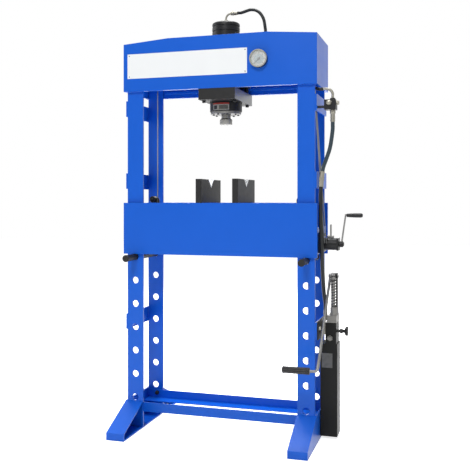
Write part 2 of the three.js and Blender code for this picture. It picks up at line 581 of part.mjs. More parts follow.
// The pump head: a block with the plunger's barrel and the hose port on top.
add('pump_head', cut(join(block(headPlate, [tankFront, tankBack], [blockTop + seat, headPlateTop]),
  bar('z', 15, headPlateTop - 1, barrelTop, [plungerX, plungerY, 0]),
  bar('x', 6, pumpPort.x, headPlate[0] + 1, [0, pumpPort.y, pumpPort.bottom + 8], 16),
  bar('z', 9, pumpPort.bottom, pumpPort.top, [pumpPort.x, pumpPort.y, 0], 16)),
bar('z', plungerRadius + running, headPlateTop + 4, barrelTop + 5, [plungerX, plungerY, 0])), aluminium);

const pivot = { y: 152, z: 742, radius: 8 };
const cheekX = [[plungerX - 14, plungerX - 8], [plungerX + 8, plungerX + 14]];
const cheekBase = [136, 188];
function cheek(x0, x1) {
  const crest = Array.from({ length: 9 }, (_, i) => {
    const angle = (Math.PI * i) / 8;
    return [pivot.y + 16 * Math.cos(angle), pivot.z + 16 * Math.sin(angle)];
  });
  const base = headPlateTop + seat;
  const plate = sidePlate([[cheekBase[0], base], [cheekBase[1], base], ...crest], x0, x1);
  return cut(plate, bar('x', pivot.radius + running, x0 - 5, x1 + 5, [0, pivot.y, pivot.z]));
}
cheekX.forEach(([x0, x1], i) => add(`pump_cheek_${i === 0 ? 'left' : 'right'}`, cheek(x0, x1), black));

// The lever turns in the cheeks; its lug presses the plunger, its rod runs forward to the pedal.
const leverX = plungerX - 20;
const gripY = -176;
const gripZ = 372;
const gripCap = leverX - 153;
const rodPoints = [[leverX, pivot.y, pivot.z]];
for (const share of [0.25, 0.5, 0.75, 0.92]) {
  rodPoints.push([leverX, pivot.y + share * (gripY - pivot.y), pivot.z + share * (gripZ + 16 - pivot.z)]);
}
rodPoints.push([leverX - 6, gripY, gripZ + 4], [leverX - 24, gripY, gripZ], [leverX - 50, gripY, gripZ], [gripCap + 3, gripY, gripZ]);
const noseY = plungerY;
const noseZ = pivot.z + 10;
const noseRadius = 9;
const lug = join(bar('x', 13, cheekX[0][1] + seat, cheekX[1][0] - seat, [0, pivot.y, pivot.z]),
  bar('x', noseRadius, cheekX[0][1] + seat, cheekX[1][0] - seat, [0, noseY, noseZ]),
  sidePlate([[noseY, noseZ - noseRadius], [pivot.y, noseZ - noseRadius], [pivot.y, pivot.z + 12], [noseY, noseZ + noseRadius]],
    cheekX[0][1] + seat, cheekX[1][0] - seat));
add('pump_lever', join(tube(rodPoints, 12, 24, 10), bar('x', pivot.radius, leverX - 8, cheekX[1][1] + 4, [0, pivot.y, pivot.z]),
  bar('x', 12, leverX - 6, cheekX[0][0] - seat, [0, pivot.y, pivot.z]), lug), steel);
const pedalEnd = gripCap + 118;
add('pedal_grip', cut(bar('x', 15.5, gripCap, pedalEnd, [0, gripY, gripZ], 20),
  bar('x', 6 + seat, gripCap + 3 - seat, pedalEnd + 5, [0, gripY, gripZ], 20)), rubber);

const plungerTop = noseZ - noseRadius - seat;
const plungerStart = headPlateTop + 20;
const springSeat = plungerTop - 12;
add('pump_plunger', join(bar('z', plungerRadius, plungerStart, plungerTop, [plungerX, plungerY, 0]),
  bar('z', 13.3, springSeat, springSeat + 5, [plungerX, plungerY, 0])), steel);
add('plunger_spring', coil(11.5, 3.5, barrelTop + seat, springSeat - seat, 11, [plungerX, plungerY]), darkSteel);

const knob = { y: 130, z: 493 };
const knobStart = blockX[1] + seat;
const lobes = Array.from({ length: 40 }, (_, i) => {
  const angle = (2 * Math.PI * i) / 40;
  const radius = 22 + 1.5 * Math.cos(5 * angle);
  return [knob.y + radius * Math.cos(angle), knob.z + radius * Math.sin(angle)];
});
add('release_knob', join(sidePlate(lobes, knobStart + 36, knobStart + 50),
  bar('x', 6, knobStart, knobStart + 38, [0, knob.y, knob.z], 16),
  bar('x', 11, knobStart + 12, knobStart + 26, [0, knob.y, knob.z], 6)), black);

// Pump hose: from the valve block down to the port on the pump head.
const hoseStart = lowerPort - ferruleHeight - hoseEnd;
const past = (distance) => tieOuter + distance; // out from the tie plates
const pumpHosePoints = [[portX, hoseLane, hoseStart], [portX, hoseLane, hoseStart - 12],
  [portX, hoseLane, hoseStart - 28], [portX - 4, 48, 1375], [past(54.7), 44, 1325], [past(39.7), 40, 1278],
  [past(26.7), 36, 1240], [past(20.7), 32, 1205], [past(17.7), 28, 1160], [past(16.7), 26, 1100],
  [past(16.7), 26, 1040], [past(17.7), 26, 980], [past(19.7), 27, 920], [past(20.7), 32, 870], [past(20.7), 44, 815],
  [past(19.7), 62, 760], [past(18.7), 84, 710], [past(18.7), 104, 665], [past(20.7), 116, 636],
  [pumpPort.x, pumpPort.y, 618], [pumpPort.x, pumpPort.y, 604], [pumpPort.x, pumpPort.y, pumpPort.top + hoseEnd]];
add('pump_hose', tube(pumpHosePoints, hoseDiameter, 44, 8), rubber);

export default press;
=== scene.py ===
"""A hydraulic shop press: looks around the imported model, in metres, +Z up, the operator on the -Y side."""

import json
import math

import bmesh
import bpy
from mathutils import Matrix, Vector
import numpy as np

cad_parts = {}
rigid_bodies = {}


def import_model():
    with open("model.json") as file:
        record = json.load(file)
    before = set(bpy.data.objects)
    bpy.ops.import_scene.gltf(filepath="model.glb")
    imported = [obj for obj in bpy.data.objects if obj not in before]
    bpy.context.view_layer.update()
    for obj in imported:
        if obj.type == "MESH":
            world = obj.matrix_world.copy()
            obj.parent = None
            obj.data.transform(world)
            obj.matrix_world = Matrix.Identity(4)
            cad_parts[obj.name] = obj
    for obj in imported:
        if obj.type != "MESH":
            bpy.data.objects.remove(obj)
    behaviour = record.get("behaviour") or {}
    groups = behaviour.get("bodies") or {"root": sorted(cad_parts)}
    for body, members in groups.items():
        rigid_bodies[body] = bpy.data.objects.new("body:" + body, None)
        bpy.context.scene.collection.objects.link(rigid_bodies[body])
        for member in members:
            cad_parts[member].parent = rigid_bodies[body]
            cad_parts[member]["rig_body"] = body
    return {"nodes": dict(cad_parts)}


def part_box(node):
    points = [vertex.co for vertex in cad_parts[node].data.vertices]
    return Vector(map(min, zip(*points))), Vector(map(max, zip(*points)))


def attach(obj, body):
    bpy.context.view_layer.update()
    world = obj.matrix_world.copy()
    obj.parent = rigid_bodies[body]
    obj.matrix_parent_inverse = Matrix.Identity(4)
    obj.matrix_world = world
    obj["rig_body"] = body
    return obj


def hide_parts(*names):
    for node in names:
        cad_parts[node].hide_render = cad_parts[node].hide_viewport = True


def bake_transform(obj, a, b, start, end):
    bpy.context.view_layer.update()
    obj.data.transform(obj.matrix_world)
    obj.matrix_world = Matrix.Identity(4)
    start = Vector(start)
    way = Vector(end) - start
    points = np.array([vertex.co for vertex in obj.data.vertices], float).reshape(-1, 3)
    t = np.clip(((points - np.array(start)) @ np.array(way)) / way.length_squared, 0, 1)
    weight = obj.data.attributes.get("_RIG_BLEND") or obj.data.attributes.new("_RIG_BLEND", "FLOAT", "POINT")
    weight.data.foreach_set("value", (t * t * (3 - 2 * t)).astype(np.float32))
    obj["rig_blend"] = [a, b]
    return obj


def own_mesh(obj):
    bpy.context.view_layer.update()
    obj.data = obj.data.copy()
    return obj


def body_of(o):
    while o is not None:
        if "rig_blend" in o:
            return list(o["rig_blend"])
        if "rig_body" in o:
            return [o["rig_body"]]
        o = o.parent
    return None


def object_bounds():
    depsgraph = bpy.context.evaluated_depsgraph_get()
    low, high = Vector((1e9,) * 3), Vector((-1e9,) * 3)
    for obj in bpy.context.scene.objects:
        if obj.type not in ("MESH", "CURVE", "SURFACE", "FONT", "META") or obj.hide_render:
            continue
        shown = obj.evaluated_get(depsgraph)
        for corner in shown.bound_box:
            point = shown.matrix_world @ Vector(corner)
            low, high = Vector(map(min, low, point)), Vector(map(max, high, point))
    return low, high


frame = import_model()
CAD_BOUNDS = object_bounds()
NODES = frame["nodes"]
MM = 0.001
SEAT = 0.3 * MM  # gap between pieces that rest on each other


# ---- Stage: camera, pale floor, soft lamps ---------------------------------------------------
camera = bpy.data.objects.new("camera", bpy.data.cameras.new("camera"))
camera.data.lens = 55.98
camera.data.sensor_width = 36
camera.data.shift_y = -0.077
camera.location = (0.952, -3.368, 1.099)
camera.rotation_euler = (math.radians(90), 0, math.radians(16.57))
bpy.context.scene.collection.objects.link(camera)
bpy.context.scene.camera = camera
bpy.context.scene.view_settings.view_transform = "Standard"

AMBIENT = 0.3  # the light of the room
FLOOR_GLOW = 0.8  # keeps the floor's far side as white as the backdrop


def seen_directly(tree):
    """1 for rays of the camera, of gloss and of glass, and 0 for the rays that light things."""
    nodes, links = tree.nodes, tree.links
    path = nodes.new("ShaderNodeLightPath")
    total = path.outputs["Is Camera Ray"]
    for name in ("Is Glossy Ray", "Is Transmission Ray"):
        more = nodes.new("ShaderNodeMath")
        more.operation = "MAXIMUM"
        links.new(total, more.inputs[0])
        links.new(path.outputs[name], more.inputs[1])
        total = more.outputs[0]
    return total


world = bpy.data.worlds.new("studio")
bpy.context.scene.world = world
world.use_nodes = True
tree = world.node_tree
level = tree.nodes.new("ShaderNodeMapRange")
level.inputs["To Min"].default_value = AMBIENT
level.inputs["To Max"].default_value = 1.0
tree.links.new(seen_directly(tree), level.inputs["Value"])
tree.nodes["Background"].inputs["Color"].default_value = (1, 1, 1, 1)
tree.links.new(level.outputs["Result"], tree.nodes["Background"].inputs["Strength"])

floor_mesh = bpy.data.meshes.new("floor")
floor_mesh.from_pydata([(-14, -14, 0), (14, -14, 0), (14, 14, 0), (-14, 14, 0)], [], [(0, 1, 2, 3)])
floor = bpy.data.objects.new("floor", floor_mesh)
bpy.context.scene.collection.objects.link(floor)
floor.location.z = CAD_BOUNDS[0][2] - 0.0005
paper = bpy.data.materials.new("floor_paper")
paper.use_nodes = True
tree = paper.node_tree
tree.nodes["Principled BSDF"].inputs["Base Color"].default_value = (0.83, 0.83, 0.83, 1)
tree.nodes["Principled BSDF"].inputs["Roughness"].default_value = 0.95
tree.nodes["Principled BSDF"].inputs["Specular IOR Level"].default_value = 0.0
glow = tree.nodes.new("ShaderNodeEmission")
strength = tree.nodes.new("ShaderNodeMath")
strength.operation = "MULTIPLY"
strength.inputs[1].default_value = FLOOR_GLOW
tree.links.new(seen_directly(tree), strength.inputs[0])
tree.links.new(strength.outputs[0], glow.inputs["Strength"])
both = tree.nodes.new("ShaderNodeAddShader")
tree.links.new(tree.nodes["Principled BSDF"].outputs[0], both.inputs[0])
tree.links.new(glow.outputs[0], both.inputs[1])
tree.links.new(both.outputs[0], tree.nodes["Material Output"].inputs["Surface"])
floor_mesh.materials.append(paper)


def lamp(name, location, target, size, watts):
    """A soft square lamp aimed at a point."""
    light = bpy.data.lights.new(name, "AREA")
    light.size = size
    light.energy = watts
    obj = bpy.data.objects.new(name, light)
    obj.location = location
    obj.rotation_euler = (Vector(target) - Vector(location)).to_track_quat("-Z", "Y").to_euler()
    bpy.context.scene.collection.objects.link(obj)


lamp("key", (0.2, -5.0, 4.8), (0, 0, 1.0), 1.5, 178)
lamp("top", (-0.2, 1.0, 6.2), (0, 0, 0.2), 3.0, 560)
lamp("back", (-1.5, 5.0, 2.2), (0, 0, 1.0), 2.4, 110)
lamp("side", (-5.2, -0.4, 2.2), (0, 0, 1.0), 2.4, 70)


# ---- Materials -----------------------------------------------------------------------------
def shade(name, color, roughness, metallic=0.0, grain=60.0, bump=0.0, vary=0.06, stretch=(1, 1, 1), coat=0.0,
          spread=0.08, specular=0.25):
    """A Principled material whose colour, roughness and height vary with noise in object space."""
    mat = bpy.data.materials.new(name)
    mat.use_nodes = True
    nodes, links = mat.node_tree.nodes, mat.node_tree.links
    shader = nodes["Principled BSDF"]
    shader.inputs["Metallic"].default_value = metallic
    shader.inputs["Specular IOR Level"].default_value = 0.5 if metallic > 0.8 else specular
    shader.inputs["Coat Weight"].default_value = coat
    shader.inputs["Coat Roughness"].default_value = 0.12
    coords = nodes.new("ShaderNodeTexCoord")
    mapping = nodes.new("ShaderNodeMapping")
    mapping.inputs["Scale"].default_value = stretch
    links.new(coords.outputs["Object"], mapping.inputs["Vector"])
    noise = nodes.new("ShaderNodeTexNoise")
    noise.inputs["Scale"].default_value = grain
    noise.inputs["Detail"].default_value = 5.0
    links.new(mapping.outputs["Vector"], noise.inputs["Vector"])
    ramp = nodes.new("ShaderNodeMix")
    ramp.data_type = "RGBA"
    dark = [c * (1 - vary) for c in color] + [1]
    light = [min(1.0, c * (1 + vary)) for c in color] + [1]
    ramp.inputs["A"].default_value = dark
    ramp.inputs["B"].default_value = light
    links.new(noise.outputs["Fac"], ramp.inputs["Factor"])
    links.new(ramp.outputs["Result"], shader.inputs["Base Color"])
    rough = nodes.new("ShaderNodeMapRange")
    rough.inputs["To Min"].default_value = max(0.02, roughness - spread)
    rough.inputs["To Max"].default_value = min(1.0, roughness + spread)
    links.new(noise.outputs["Fac"], rough.inputs["Value"])
    links.new(rough.outputs["Result"], shader.inputs["Roughness"])
    if bump:
        height = nodes.new("ShaderNodeBump")
        height.inputs["Distance"].default_value = bump
        height.inputs["Strength"].default_value = 0.5
        links.new(noise.outputs["Fac"], height.inputs["Height"])
        links.new(height.outputs["Normal"], shader.inputs["Normal"])
    return mat


BLUE = shade("blue_gloss_paint", (0.003, 0.098, 0.56), 0.34, grain=9, vary=0.035, specular=0.25)
BLACK = shade("black_paint", (0.009, 0.0095, 0.0105), 0.4, grain=40, bump=0.0002, vary=0.25, specular=0.22)
TANK = shade("black_sheet_paint", (0.006, 0.0062, 0.0057), 0.48, grain=24, bump=0.0002, vary=0.25,
             specular=0.16)
STEEL = shade("turned_steel", (0.2, 0.198, 0.19), 0.4, 1.0, grain=30, vary=0.16, stretch=(1, 1, 14))
GROUND = shade("ground_steel", (0.26, 0.265, 0.27), 0.42, 1.0, grain=18, vary=0.2, stretch=(1, 9, 1))
ZINC = shade("zinc_plated_steel", (0.26, 0.25, 0.215), 0.38, 1.0, grain=90, vary=0.18)
GALVANISED = shade("galvanised_rod", (0.17, 0.168, 0.165), 0.42, 1.0, grain=70, vary=0.16)
DARK = shade("blackened_steel", (0.014, 0.014, 0.0145), 0.5, grain=38, bump=0.0003, vary=0.35, specular=0.22)
GRIPPING = shade("moulded_grip", (0.011, 0.011, 0.012), 0.5, grain=160, bump=0.0002, vary=0.3)
# Lighter grey for the raised tops of the pedal grip's knurl: a painted highlight that stands in for their
# glints
KNURL_TOP_HIGHLIGHT = shade("knurl_tops_painted_highlight", (0.085, 0.082, 0.076), 0.42, grain=220, bump=0.0002, vary=0.5,
                  specular=0.5)
HOSE = shade("hose_rubber", (0.009, 0.011, 0.012), 0.42, grain=240, bump=0.0003, vary=0.3)
SLEEVE = shade("hose_sleeve", (0.028, 0.045, 0.058), 0.36, grain=200, bump=0.0003, vary=0.25)
CAST = shade("cast_aluminium", (0.17, 0.167, 0.157), 0.5, 0.85, grain=120, bump=0.0005, vary=0.2)
WHITE = shade("white_plate_paint", (0.8, 0.82, 0.83), 0.35, grain=12, vary=0.02)
DIAL = shade("dial_face", (0.62, 0.64, 0.63), 0.45, grain=30, vary=0.03)
DIAL_CENTRE = shade("dial_centre", (0.36, 0.45, 0.48), 0.45, grain=30, vary=0.05)
INK = shade("dial_marks", (0.02, 0.022, 0.03), 0.5, grain=60, vary=0.1)
GREEN = shade("dial_green", (0.09, 0.3, 0.1), 0.45, grain=60, vary=0.05)
RED = shade("signal_red", (0.32, 0.03, 0.025), 0.4, grain=60, vary=0.08)
CABLE = shade("steel_cable", (0.2, 0.205, 0.21), 0.42, 1.0, grain=900, bump=0.0006, vary=0.3)
LABEL = shade("label_paper", (0.3, 0.3, 0.29), 0.5, grain=80, vary=0.12)
SCUFFED = shade("label_grey", (0.09, 0.09, 0.086), 0.5, grain=60, vary=0.4)


def glass(name):
    mat = bpy.data.materials.new(name)
    mat.use_nodes = True
    shader = mat.node_tree.nodes["Principled BSDF"]
    shader.inputs["Base Color"].default_value = (0.95, 0.97, 0.97, 1)
    shader.inputs["Roughness"].default_value = 0.03
    shader.inputs["Alpha"].default_value = 0.16
    shader.inputs["IOR"].default_value = 1.45
    return mat


GLASS = glass("gauge_glass_clear")


# ---- Mesh helpers --------------------------------------------------------------------------
def new_mesh(name, verts, faces, smooth_angle=35.0):
    mesh = bpy.data.meshes.new(name)
    mesh.from_pydata([tuple(v) for v in verts], [], faces)
    mesh.validate()
    work = bmesh.new()
    work.from_mesh(mesh)
    bmesh.ops.recalc_face_normals(work, faces=work.faces)
    work.to_mesh(mesh)
    work.free()
    obj = bpy.data.objects.new(name, mesh)
    bpy.context.scene.collection.objects.link(obj)
    soften(obj, smooth_angle)
    return obj


def soften(obj, angle=35.0):
    """Smooth shading, with edges sharper than the angle kept sharp."""
    work = bmesh.new()
    work.from_mesh(obj.data)
    for face in work.faces:
        face.smooth = True
    limit = math.radians(angle)
    for edge in work.edges:
        edge.smooth = len(edge.link_faces) == 2 and edge.calc_face_angle(0.0) < limit
    work.to_mesh(obj.data)
    work.free()


AXES = {"x": Matrix(((0, 0, 1), (1, 0, 0), (0, 1, 0))), "y": Matrix(((1, 0, 0), (0, 0, 1), (0, -1, 0))),
        "z": Matrix.Identity(3)}


def lathe(profile, centre, axis="z", segments=72):
    """Vertices and faces turned about an axis through the centre. The profile is (radius, along)."""
    turn = AXES[axis]
    verts, faces, rings = [], [], []
    for radius, along in profile:
        if radius < 1e-7:
            rings.append([len(verts)])
            verts.append(Vector(centre) + turn @ Vector((0, 0, along)))
            continue
        rings.append(list(range(len(verts), len(verts) + segments)))
        for i in range(segments):
            angle = 2 * math.pi * i / segments
            verts.append(Vector(centre) + turn @ Vector((radius * math.cos(angle), radius * math.sin(angle),
                                                         along)))
    for a, b in zip(rings, rings[1:]):
        if len(a) == 1 and len(b) == 1:
            continue
        for i in range(segments):
            j = (i + 1) % segments
            if len(a) == 1:
                faces.append((a[0], b[i], b[j]))
            elif len(b) == 1:
                faces.append((a[i], b[0], a[j]))
            else:
                faces.append((a[i], b[i], b[j], a[j]))
    return verts, faces


def merged(*parts):
    """One vertex and face list from several."""
    verts, faces = [], []
    for more_verts, more_faces in parts:
        start = len(verts)
        verts.extend(more_verts)
        faces.extend(tuple(start + i for i in face) for face in more_faces)
    return verts, faces


def slab(low, high):
    """A box between two corners."""
    (x0, y0, z0), (x1, y1, z1) = low, high
    verts = [Vector((x, y, z)) for x in (x0, x1) for y in (y0, y1) for z in (z0, z1)]
    return verts, [(0, 1, 3, 2), (4, 6, 7, 5), (0, 4, 5, 1), (2, 3, 7, 6), (0, 2, 6, 4), (1, 5, 7, 3)]


# Faces of a prism: four corners of one end, then the same four of the other
PRISM_FACES = [(0, 1, 2, 3), (7, 6, 5, 4), (0, 4, 5, 1), (1, 5, 6, 2), (2, 6, 7, 3), (3, 7, 4, 0)]


def net_faces(rows, around):
    """Faces between rows of points that close into rings."""
    faces = []
    for r in range(rows):
        for i in range(around):
            j = (i + 1) % around
            faces.append((r * around + i, r * around + j, (r + 1) * around + j, (r + 1) * around + i))
    return faces


def strip_faces(steps):
    """Faces of a thin bar with four points at each step."""
    faces = []
    for k in range(steps):
        a = 4 * k
        for p, q in ((0, 1), (1, 3), (3, 2), (2, 0)):
            faces.append((a + p, a + q, a + 4 + q, a + 4 + p))
    return faces + [(0, 2, 3, 1), (4 * steps, 4 * steps + 1, 4 * steps + 3, 4 * steps + 2)]


def smooth_route(points, steps=8):
    """A Catmull-Rom curve through the points, centripetal."""
    pts = [Vector(p) for p in points]
    pts = [2 * pts[0] - pts[1]] + pts + [2 * pts[-1] - pts[-2]]
    route = []
    for p0, p1, p2, p3 in zip(pts, pts[1:], pts[2:], pts[3:]):
        t0 = 0.0
        t1 = t0 + math.sqrt((p1 - p0).length)
        t2 = t1 + math.sqrt((p2 - p1).length)
        t3 = t2 + math.sqrt((p3 - p2).length)
        for k in range(steps):
            t = t1 + (t2 - t1) * k / steps
            a1 = p0.lerp(p1, (t - t0) / (t1 - t0))
            a2 = p1.lerp(p2, (t - t1) / (t2 - t1))
            a3 = p2.lerp(p3, (t - t2) / (t3 - t2))
            b1 = a1.lerp(a2, (t - t0) / (t2 - t0))
            b2 = a2.lerp(a3, (t - t1) / (t3 - t1))
            route.append(b1.lerp(b2, (t - t1) / (t2 - t1)))
    route.append(pts[-2])
    return route


def pipe(route, radius, sides=16, strands=0, pitch=1.0):
    """A closed tube along a route, without twist. Strands wind round it once each pitch."""
    verts, faces = [], []
    tangents = [(b - a).normalized() for a, b in zip(route, route[1:])]
    tangents = [tangents[0]] + [(a + b).normalized() for a, b in zip(tangents, tangents[1:])] + [tangents[-1]]
    side = tangents[0].orthogonal().normalized()
    travelled = 0.0
    for index, (point, tangent) in enumerate(zip(route, tangents)):
        side = (side - side.dot(tangent) * tangent).normalized()
        up = tangent.cross(side)
        if index:
            travelled += (point - route[index - 1]).length
        for i in range(sides):
            angle = 2 * math.pi * i / sides
            size = radius
            if strands:
                size *= 0.82 + 0.18 * abs(math.cos(strands / 2 * (angle - 2 * math.pi * travelled / pitch)))
            verts.append(point + size * (math.cos(angle) * side + math.sin(angle) * up))
    for ring in range(len(route) - 1):
        for i in range(sides):
            j = (i + 1) % sides
            base = ring * sides
            faces.append((base + i, base + j, base + sides + j, base + sides + i))
    faces.append(tuple(reversed(range(sides))))
    last = (len(route) - 1) * sides
    faces.append(tuple(range(last, last + sides)))
    return verts, faces


def bolt(centre, axis, across=19 * MM, sign=1):
    """Washer and chamfered hexagon head on a face, standing along +axis, or -axis where sign is -1."""
    washer = across * 0.62
    thick = 2.2 * MM
    height = across * 0.55
    disc = lathe([(0, 0), (washer, 0), (washer, sign * thick), (0, sign * thick)], centre, axis, 28)
    radius = across / math.sqrt(3)
    chamfer = 0.1 * across
    head = lathe([(0, sign * thick * 0.9), (radius, sign * thick * 0.9),
                  (radius, sign * (thick + height - chamfer * 0.6)),
                  (radius - chamfer, sign * (thick + height)), (0, sign * (thick + height))], centre, axis, 6)
    return merged(disc, head)


def place(obj, body, slot, material, *replaced):
    """Gives a piece its material and body, and hides the nodes it stands for. Its slot argument is not used.
    """
    obj.data.materials.clear()
    obj.data.materials.append(material)
    if replaced:
        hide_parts(*replaced)
    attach(obj, body)
    return obj


def middle(low, high):
    return (low + high) / 2


# ---- Hoses: tubes between their fittings, the top one blending from the frame to the carriage ---
TOP_HOSE = [(-0.0364, 0, 1.9913), (-0.0284, 0, 1.9913), (-0.0184, 0, 1.9913), (0.005, 0, 1.997),
            (0.027, 0, 2.002),
            (0.052, 0, 1.998), (0.073, 0, 1.984), (0.091, 0, 1.955), (0.099, 0, 1.915), (0.103, 0, 1.875),
            (0.105, 0, 1.83), (0.113, 0, 1.79), (0.133, -0.00792, 1.762), (0.167, -0.0297, 1.746),
            (0.199, -0.05841, 1.73), (0.225, -0.08217, 1.711), (0.25, -0.09504, 1.686),
            (0.273, -0.099, 1.663),
            (0.295, -0.099, 1.644), (0.32, -0.099, 1.624), (0.345, -0.099, 1.606), (0.365, -0.099, 1.597),
            (0.379, -0.099, 1.594), (0.387, -0.099, 1.594), (0.395, -0.099, 1.594)]
PUMP_HOSE = [(0.437, -0.099, 1.4431), (0.437, -0.099, 1.4311), (0.437, -0.099, 1.4151),
             (0.433, -0.102, 1.375),
             (0.425, -0.106, 1.325), (0.41, -0.11, 1.278), (0.397, -0.114, 1.24), (0.391, -0.118, 1.205),
             (0.388, -0.122, 1.16), (0.387, -0.124, 1.1), (0.387, -0.124, 1.04), (0.388, -0.124, 0.98),
             (0.39, -0.123, 0.92), (0.391, -0.118, 0.87), (0.391, -0.106, 0.815), (0.39, -0.088, 0.76),
             (0.389, -0.066, 0.71), (0.389, -0.046, 0.665), (0.391, -0.034, 0.636), (0.3925, -0.03, 0.618),
             (0.3925, -0.03, 0.604), (0.3925, -0.03, 0.5906)]


def hose(name, points, diameter, node):
    route = smooth_route(points)
    obj = new_mesh(name, *pipe(route, diameter / 2, 20))
    obj.data.materials.append(HOSE)
    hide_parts(node)
    length = sum((b - a).length for a, b in zip(route, route[1:]))
    return obj, route, length


top_hose, route, length = hose("top_hose_rubber", TOP_HOSE, 15 * MM, "top_hose")
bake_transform(top_hose, "frame", "carriage", start=(0.125, 0, 1.70), end=(0.0, 0, 1.95))
pump_hose, route, length = hose("pump_hose_rubber", PUMP_HOSE, 18 * MM, "pump_hose")
pump_hose.data.materials.append(SLEEVE)
SLEEVE_END = 1.222  # the height where the sleeved stretch of the pump hose starts
for polygon in pump_hose.data.polygons:
    polygon.material_index = 1 if polygon.center.z > SLEEVE_END else 0
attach(pump_hose, "frame")

# ---- Lifting cables and springs: drawn inside the boxes of their CAD nodes -------------------
for side in ("left", "right"):
    low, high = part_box(f"lift_cable_{side}")
    x, y = middle(low, high).x, middle(low, high).y
    route = [Vector((x, y, low.z + (high.z - low.z) * k / 160)) for k in range(161)]
    rope = place(new_mesh(f"lift_cable_{side}_rope",
                          *pipe(route, (high.x - low.x) / 2, 18, strands=6, pitch=34 * MM)),
                 "frame", "steel", CABLE, f"lift_cable_{side}")
    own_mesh(rope)


def coil(name, node, wire, turns, body, material, per_turn=30):
    """A spring with closed ends, wound inside the node's box and placed on a body."""
    low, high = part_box(node)
    x, y = middle(low, high).x, middle(low, high).y
    radius = (high.x - low.x) / 2 - wire
    bottom, top = low.z + wire, high.z - wire
    route = []
    for k in range(turns * per_turn + 1):
        turn = k / per_turn
        open_part = min(1.0, max(0.0, (turn - 1) / (turns - 2)))
        closed = (min(turn, 1.0) + max(0.0, turn - turns + 1)) * 2 * wire
        z = bottom + closed + open_part * (top - bottom - 4 * wire)
        angle = 2 * math.pi * turn
        route.append(Vector((x + radius * math.cos(angle), y + radius * math.sin(angle), z)))
    spring = place(new_mesh(name, *pipe(route, wire, 12)), body, "dark_steel", material, node)
    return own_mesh(spring)


coil("plunger_coil", "plunger_spring", 1.75 * MM, 11, "frame", DARK)
coil("return_coil", "return_spring", 3.0 * MM, 9, "carriage", DARK)

# ---- Columns: flat bars with round holes and rounded edges ----------------------------------
HOLE_PITCH = 112.5 * MM
LOWEST_HOLE = 145 * MM
HOLE_RADIUS = 16 * MM
HOLES = 8
EDGE = 1.0 * MM


def column(node):
    low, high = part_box(node)
    centre = middle(low, high)
    flat = bpy.data.curves.new(node, "CURVE")
    flat.dimensions = "2D"
    flat.fill_mode = "BOTH"

    def loop(points):
        spline = flat.splines.new("POLY")
        spline.points.add(len(points) - 1)
        for point, (x, z) in zip(spline.points, points):
            point.co = (x, z, 0, 1)
        spline.use_cyclic_u = True

    half = (high.x - low.x) / 2 - EDGE
    loop([(-half, low.z + EDGE), (half, low.z + EDGE), (half, high.z - EDGE), (-half, high.z - EDGE)])
    for k in range(HOLES):
        z = LOWEST_HOLE + k * HOLE_PITCH
        turn = [2 * math.pi * i / 40 for i in range(40)]
        loop([((HOLE_RADIUS + EDGE) * math.cos(a), z + (HOLE_RADIUS + EDGE) * math.sin(a)) for a in turn])
    flat.extrude = (high.y - low.y) / 2 - EDGE
    flat.bevel_depth = EDGE
    flat.bevel_resolution = 2
    source = bpy.data.objects.new(node + "_outline", flat)
    bpy.context.scene.collection.objects.link(source)
    mesh = bpy.data.meshes.new_from_object(source.evaluated_get(bpy.context.evaluated_depsgraph_get()))
    bpy.data.objects.remove(source)
    mesh.transform(Matrix.Translation((centre.x, centre.y, 0)) @ Matrix.Rotation(math.pi / 2, 4, "X"))
    obj = bpy.data.objects.new(node + "_bar", mesh)
    bpy.context.scene.collection.objects.link(obj)
    soften(obj, 40)
    return place(obj, "frame", "blue_paint", BLUE, node)


bpy.context.view_layer.update()
for row in ("front", "rear"):
    for side in ("left", "right"):
        column(f"column_{row}_{side}")


# ---- Cylinder, gland, ram and pressure head --------------------------------------------------
def turned_piece(name, profile, centre, body, slot, material, *replaced, axis="z", segments=96):
    return place(new_mesh(name, *lathe(profile, centre, axis, segments)), body, slot, material, *replaced)


low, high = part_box("cylinder_body")
gland_low, gland_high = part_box("cylinder_gland")
carriage_low, carriage_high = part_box("carriage")
AXIS = Vector((middle(low, high).x, middle(low, high).y, 0))
COLLAR = (high.x - low.x) / 2
BARREL = 67 * MM
BORE = 50 * MM
GROOVE = 3 * MM
collar_top = carriage_low.z - SEAT


def band(z):
    return [(BARREL, z - 4 * MM), (BARREL - GROOVE, z - 3 * MM), (BARREL - GROOVE, z + 3 * MM),
            (BARREL, z + 4 * MM)]


barrel_profile = [(BORE, low.z), (COLLAR - 1.5 * MM, low.z), (COLLAR, low.z + 1.5 * MM),
                  (COLLAR, collar_top - 1.5 * MM),
                  (COLLAR - 1.5 * MM, collar_top), (BARREL, collar_top)]
for z in (high.z - 46 * MM, high.z - 22 * MM):
    barrel_profile += band(z)
barrel_profile += [(BARREL, high.z - 8 * MM), (BARREL - 2 * MM, high.z - 4 * MM),
                   (BARREL - 8 * MM, high.z - 0.5 * MM),
                   (BARREL - 10 * MM, high.z), (0, high.z), (0, high.z - 22 * MM), (BORE, high.z - 22 * MM),
                   (BORE, low.z)]
turned_piece("cylinder_barrel", barrel_profile, AXIS, "carriage", "black_paint", BLACK, "cylinder_body")

ROD = 22.5 * MM
gland_radius = (gland_high.x - gland_low.x) / 2
gland_bottom = gland_low.z
gland_step = low.z
gland_profile = [(ROD + SEAT, gland_bottom), (ROD + 8 * MM, gland_bottom),
                 (ROD + 9 * MM, gland_bottom + 1.5 * MM),
                 (ROD + 12 * MM, gland_bottom + 1.5 * MM), (ROD + 13 * MM, gland_bottom),
                 (gland_radius - 1.5 * MM, gland_bottom), (gland_radius, gland_bottom + 1.5 * MM),
                 (gland_radius, gland_step - SEAT), (BORE - SEAT, gland_step - SEAT),
                 (BORE - SEAT, gland_high.z),
                 (ROD + SEAT, gland_high.z), (ROD + SEAT, gland_bottom)]
turned_piece("gland_ring", gland_profile, AXIS, "carriage", "steel", GALVANISED, "cylinder_gland")

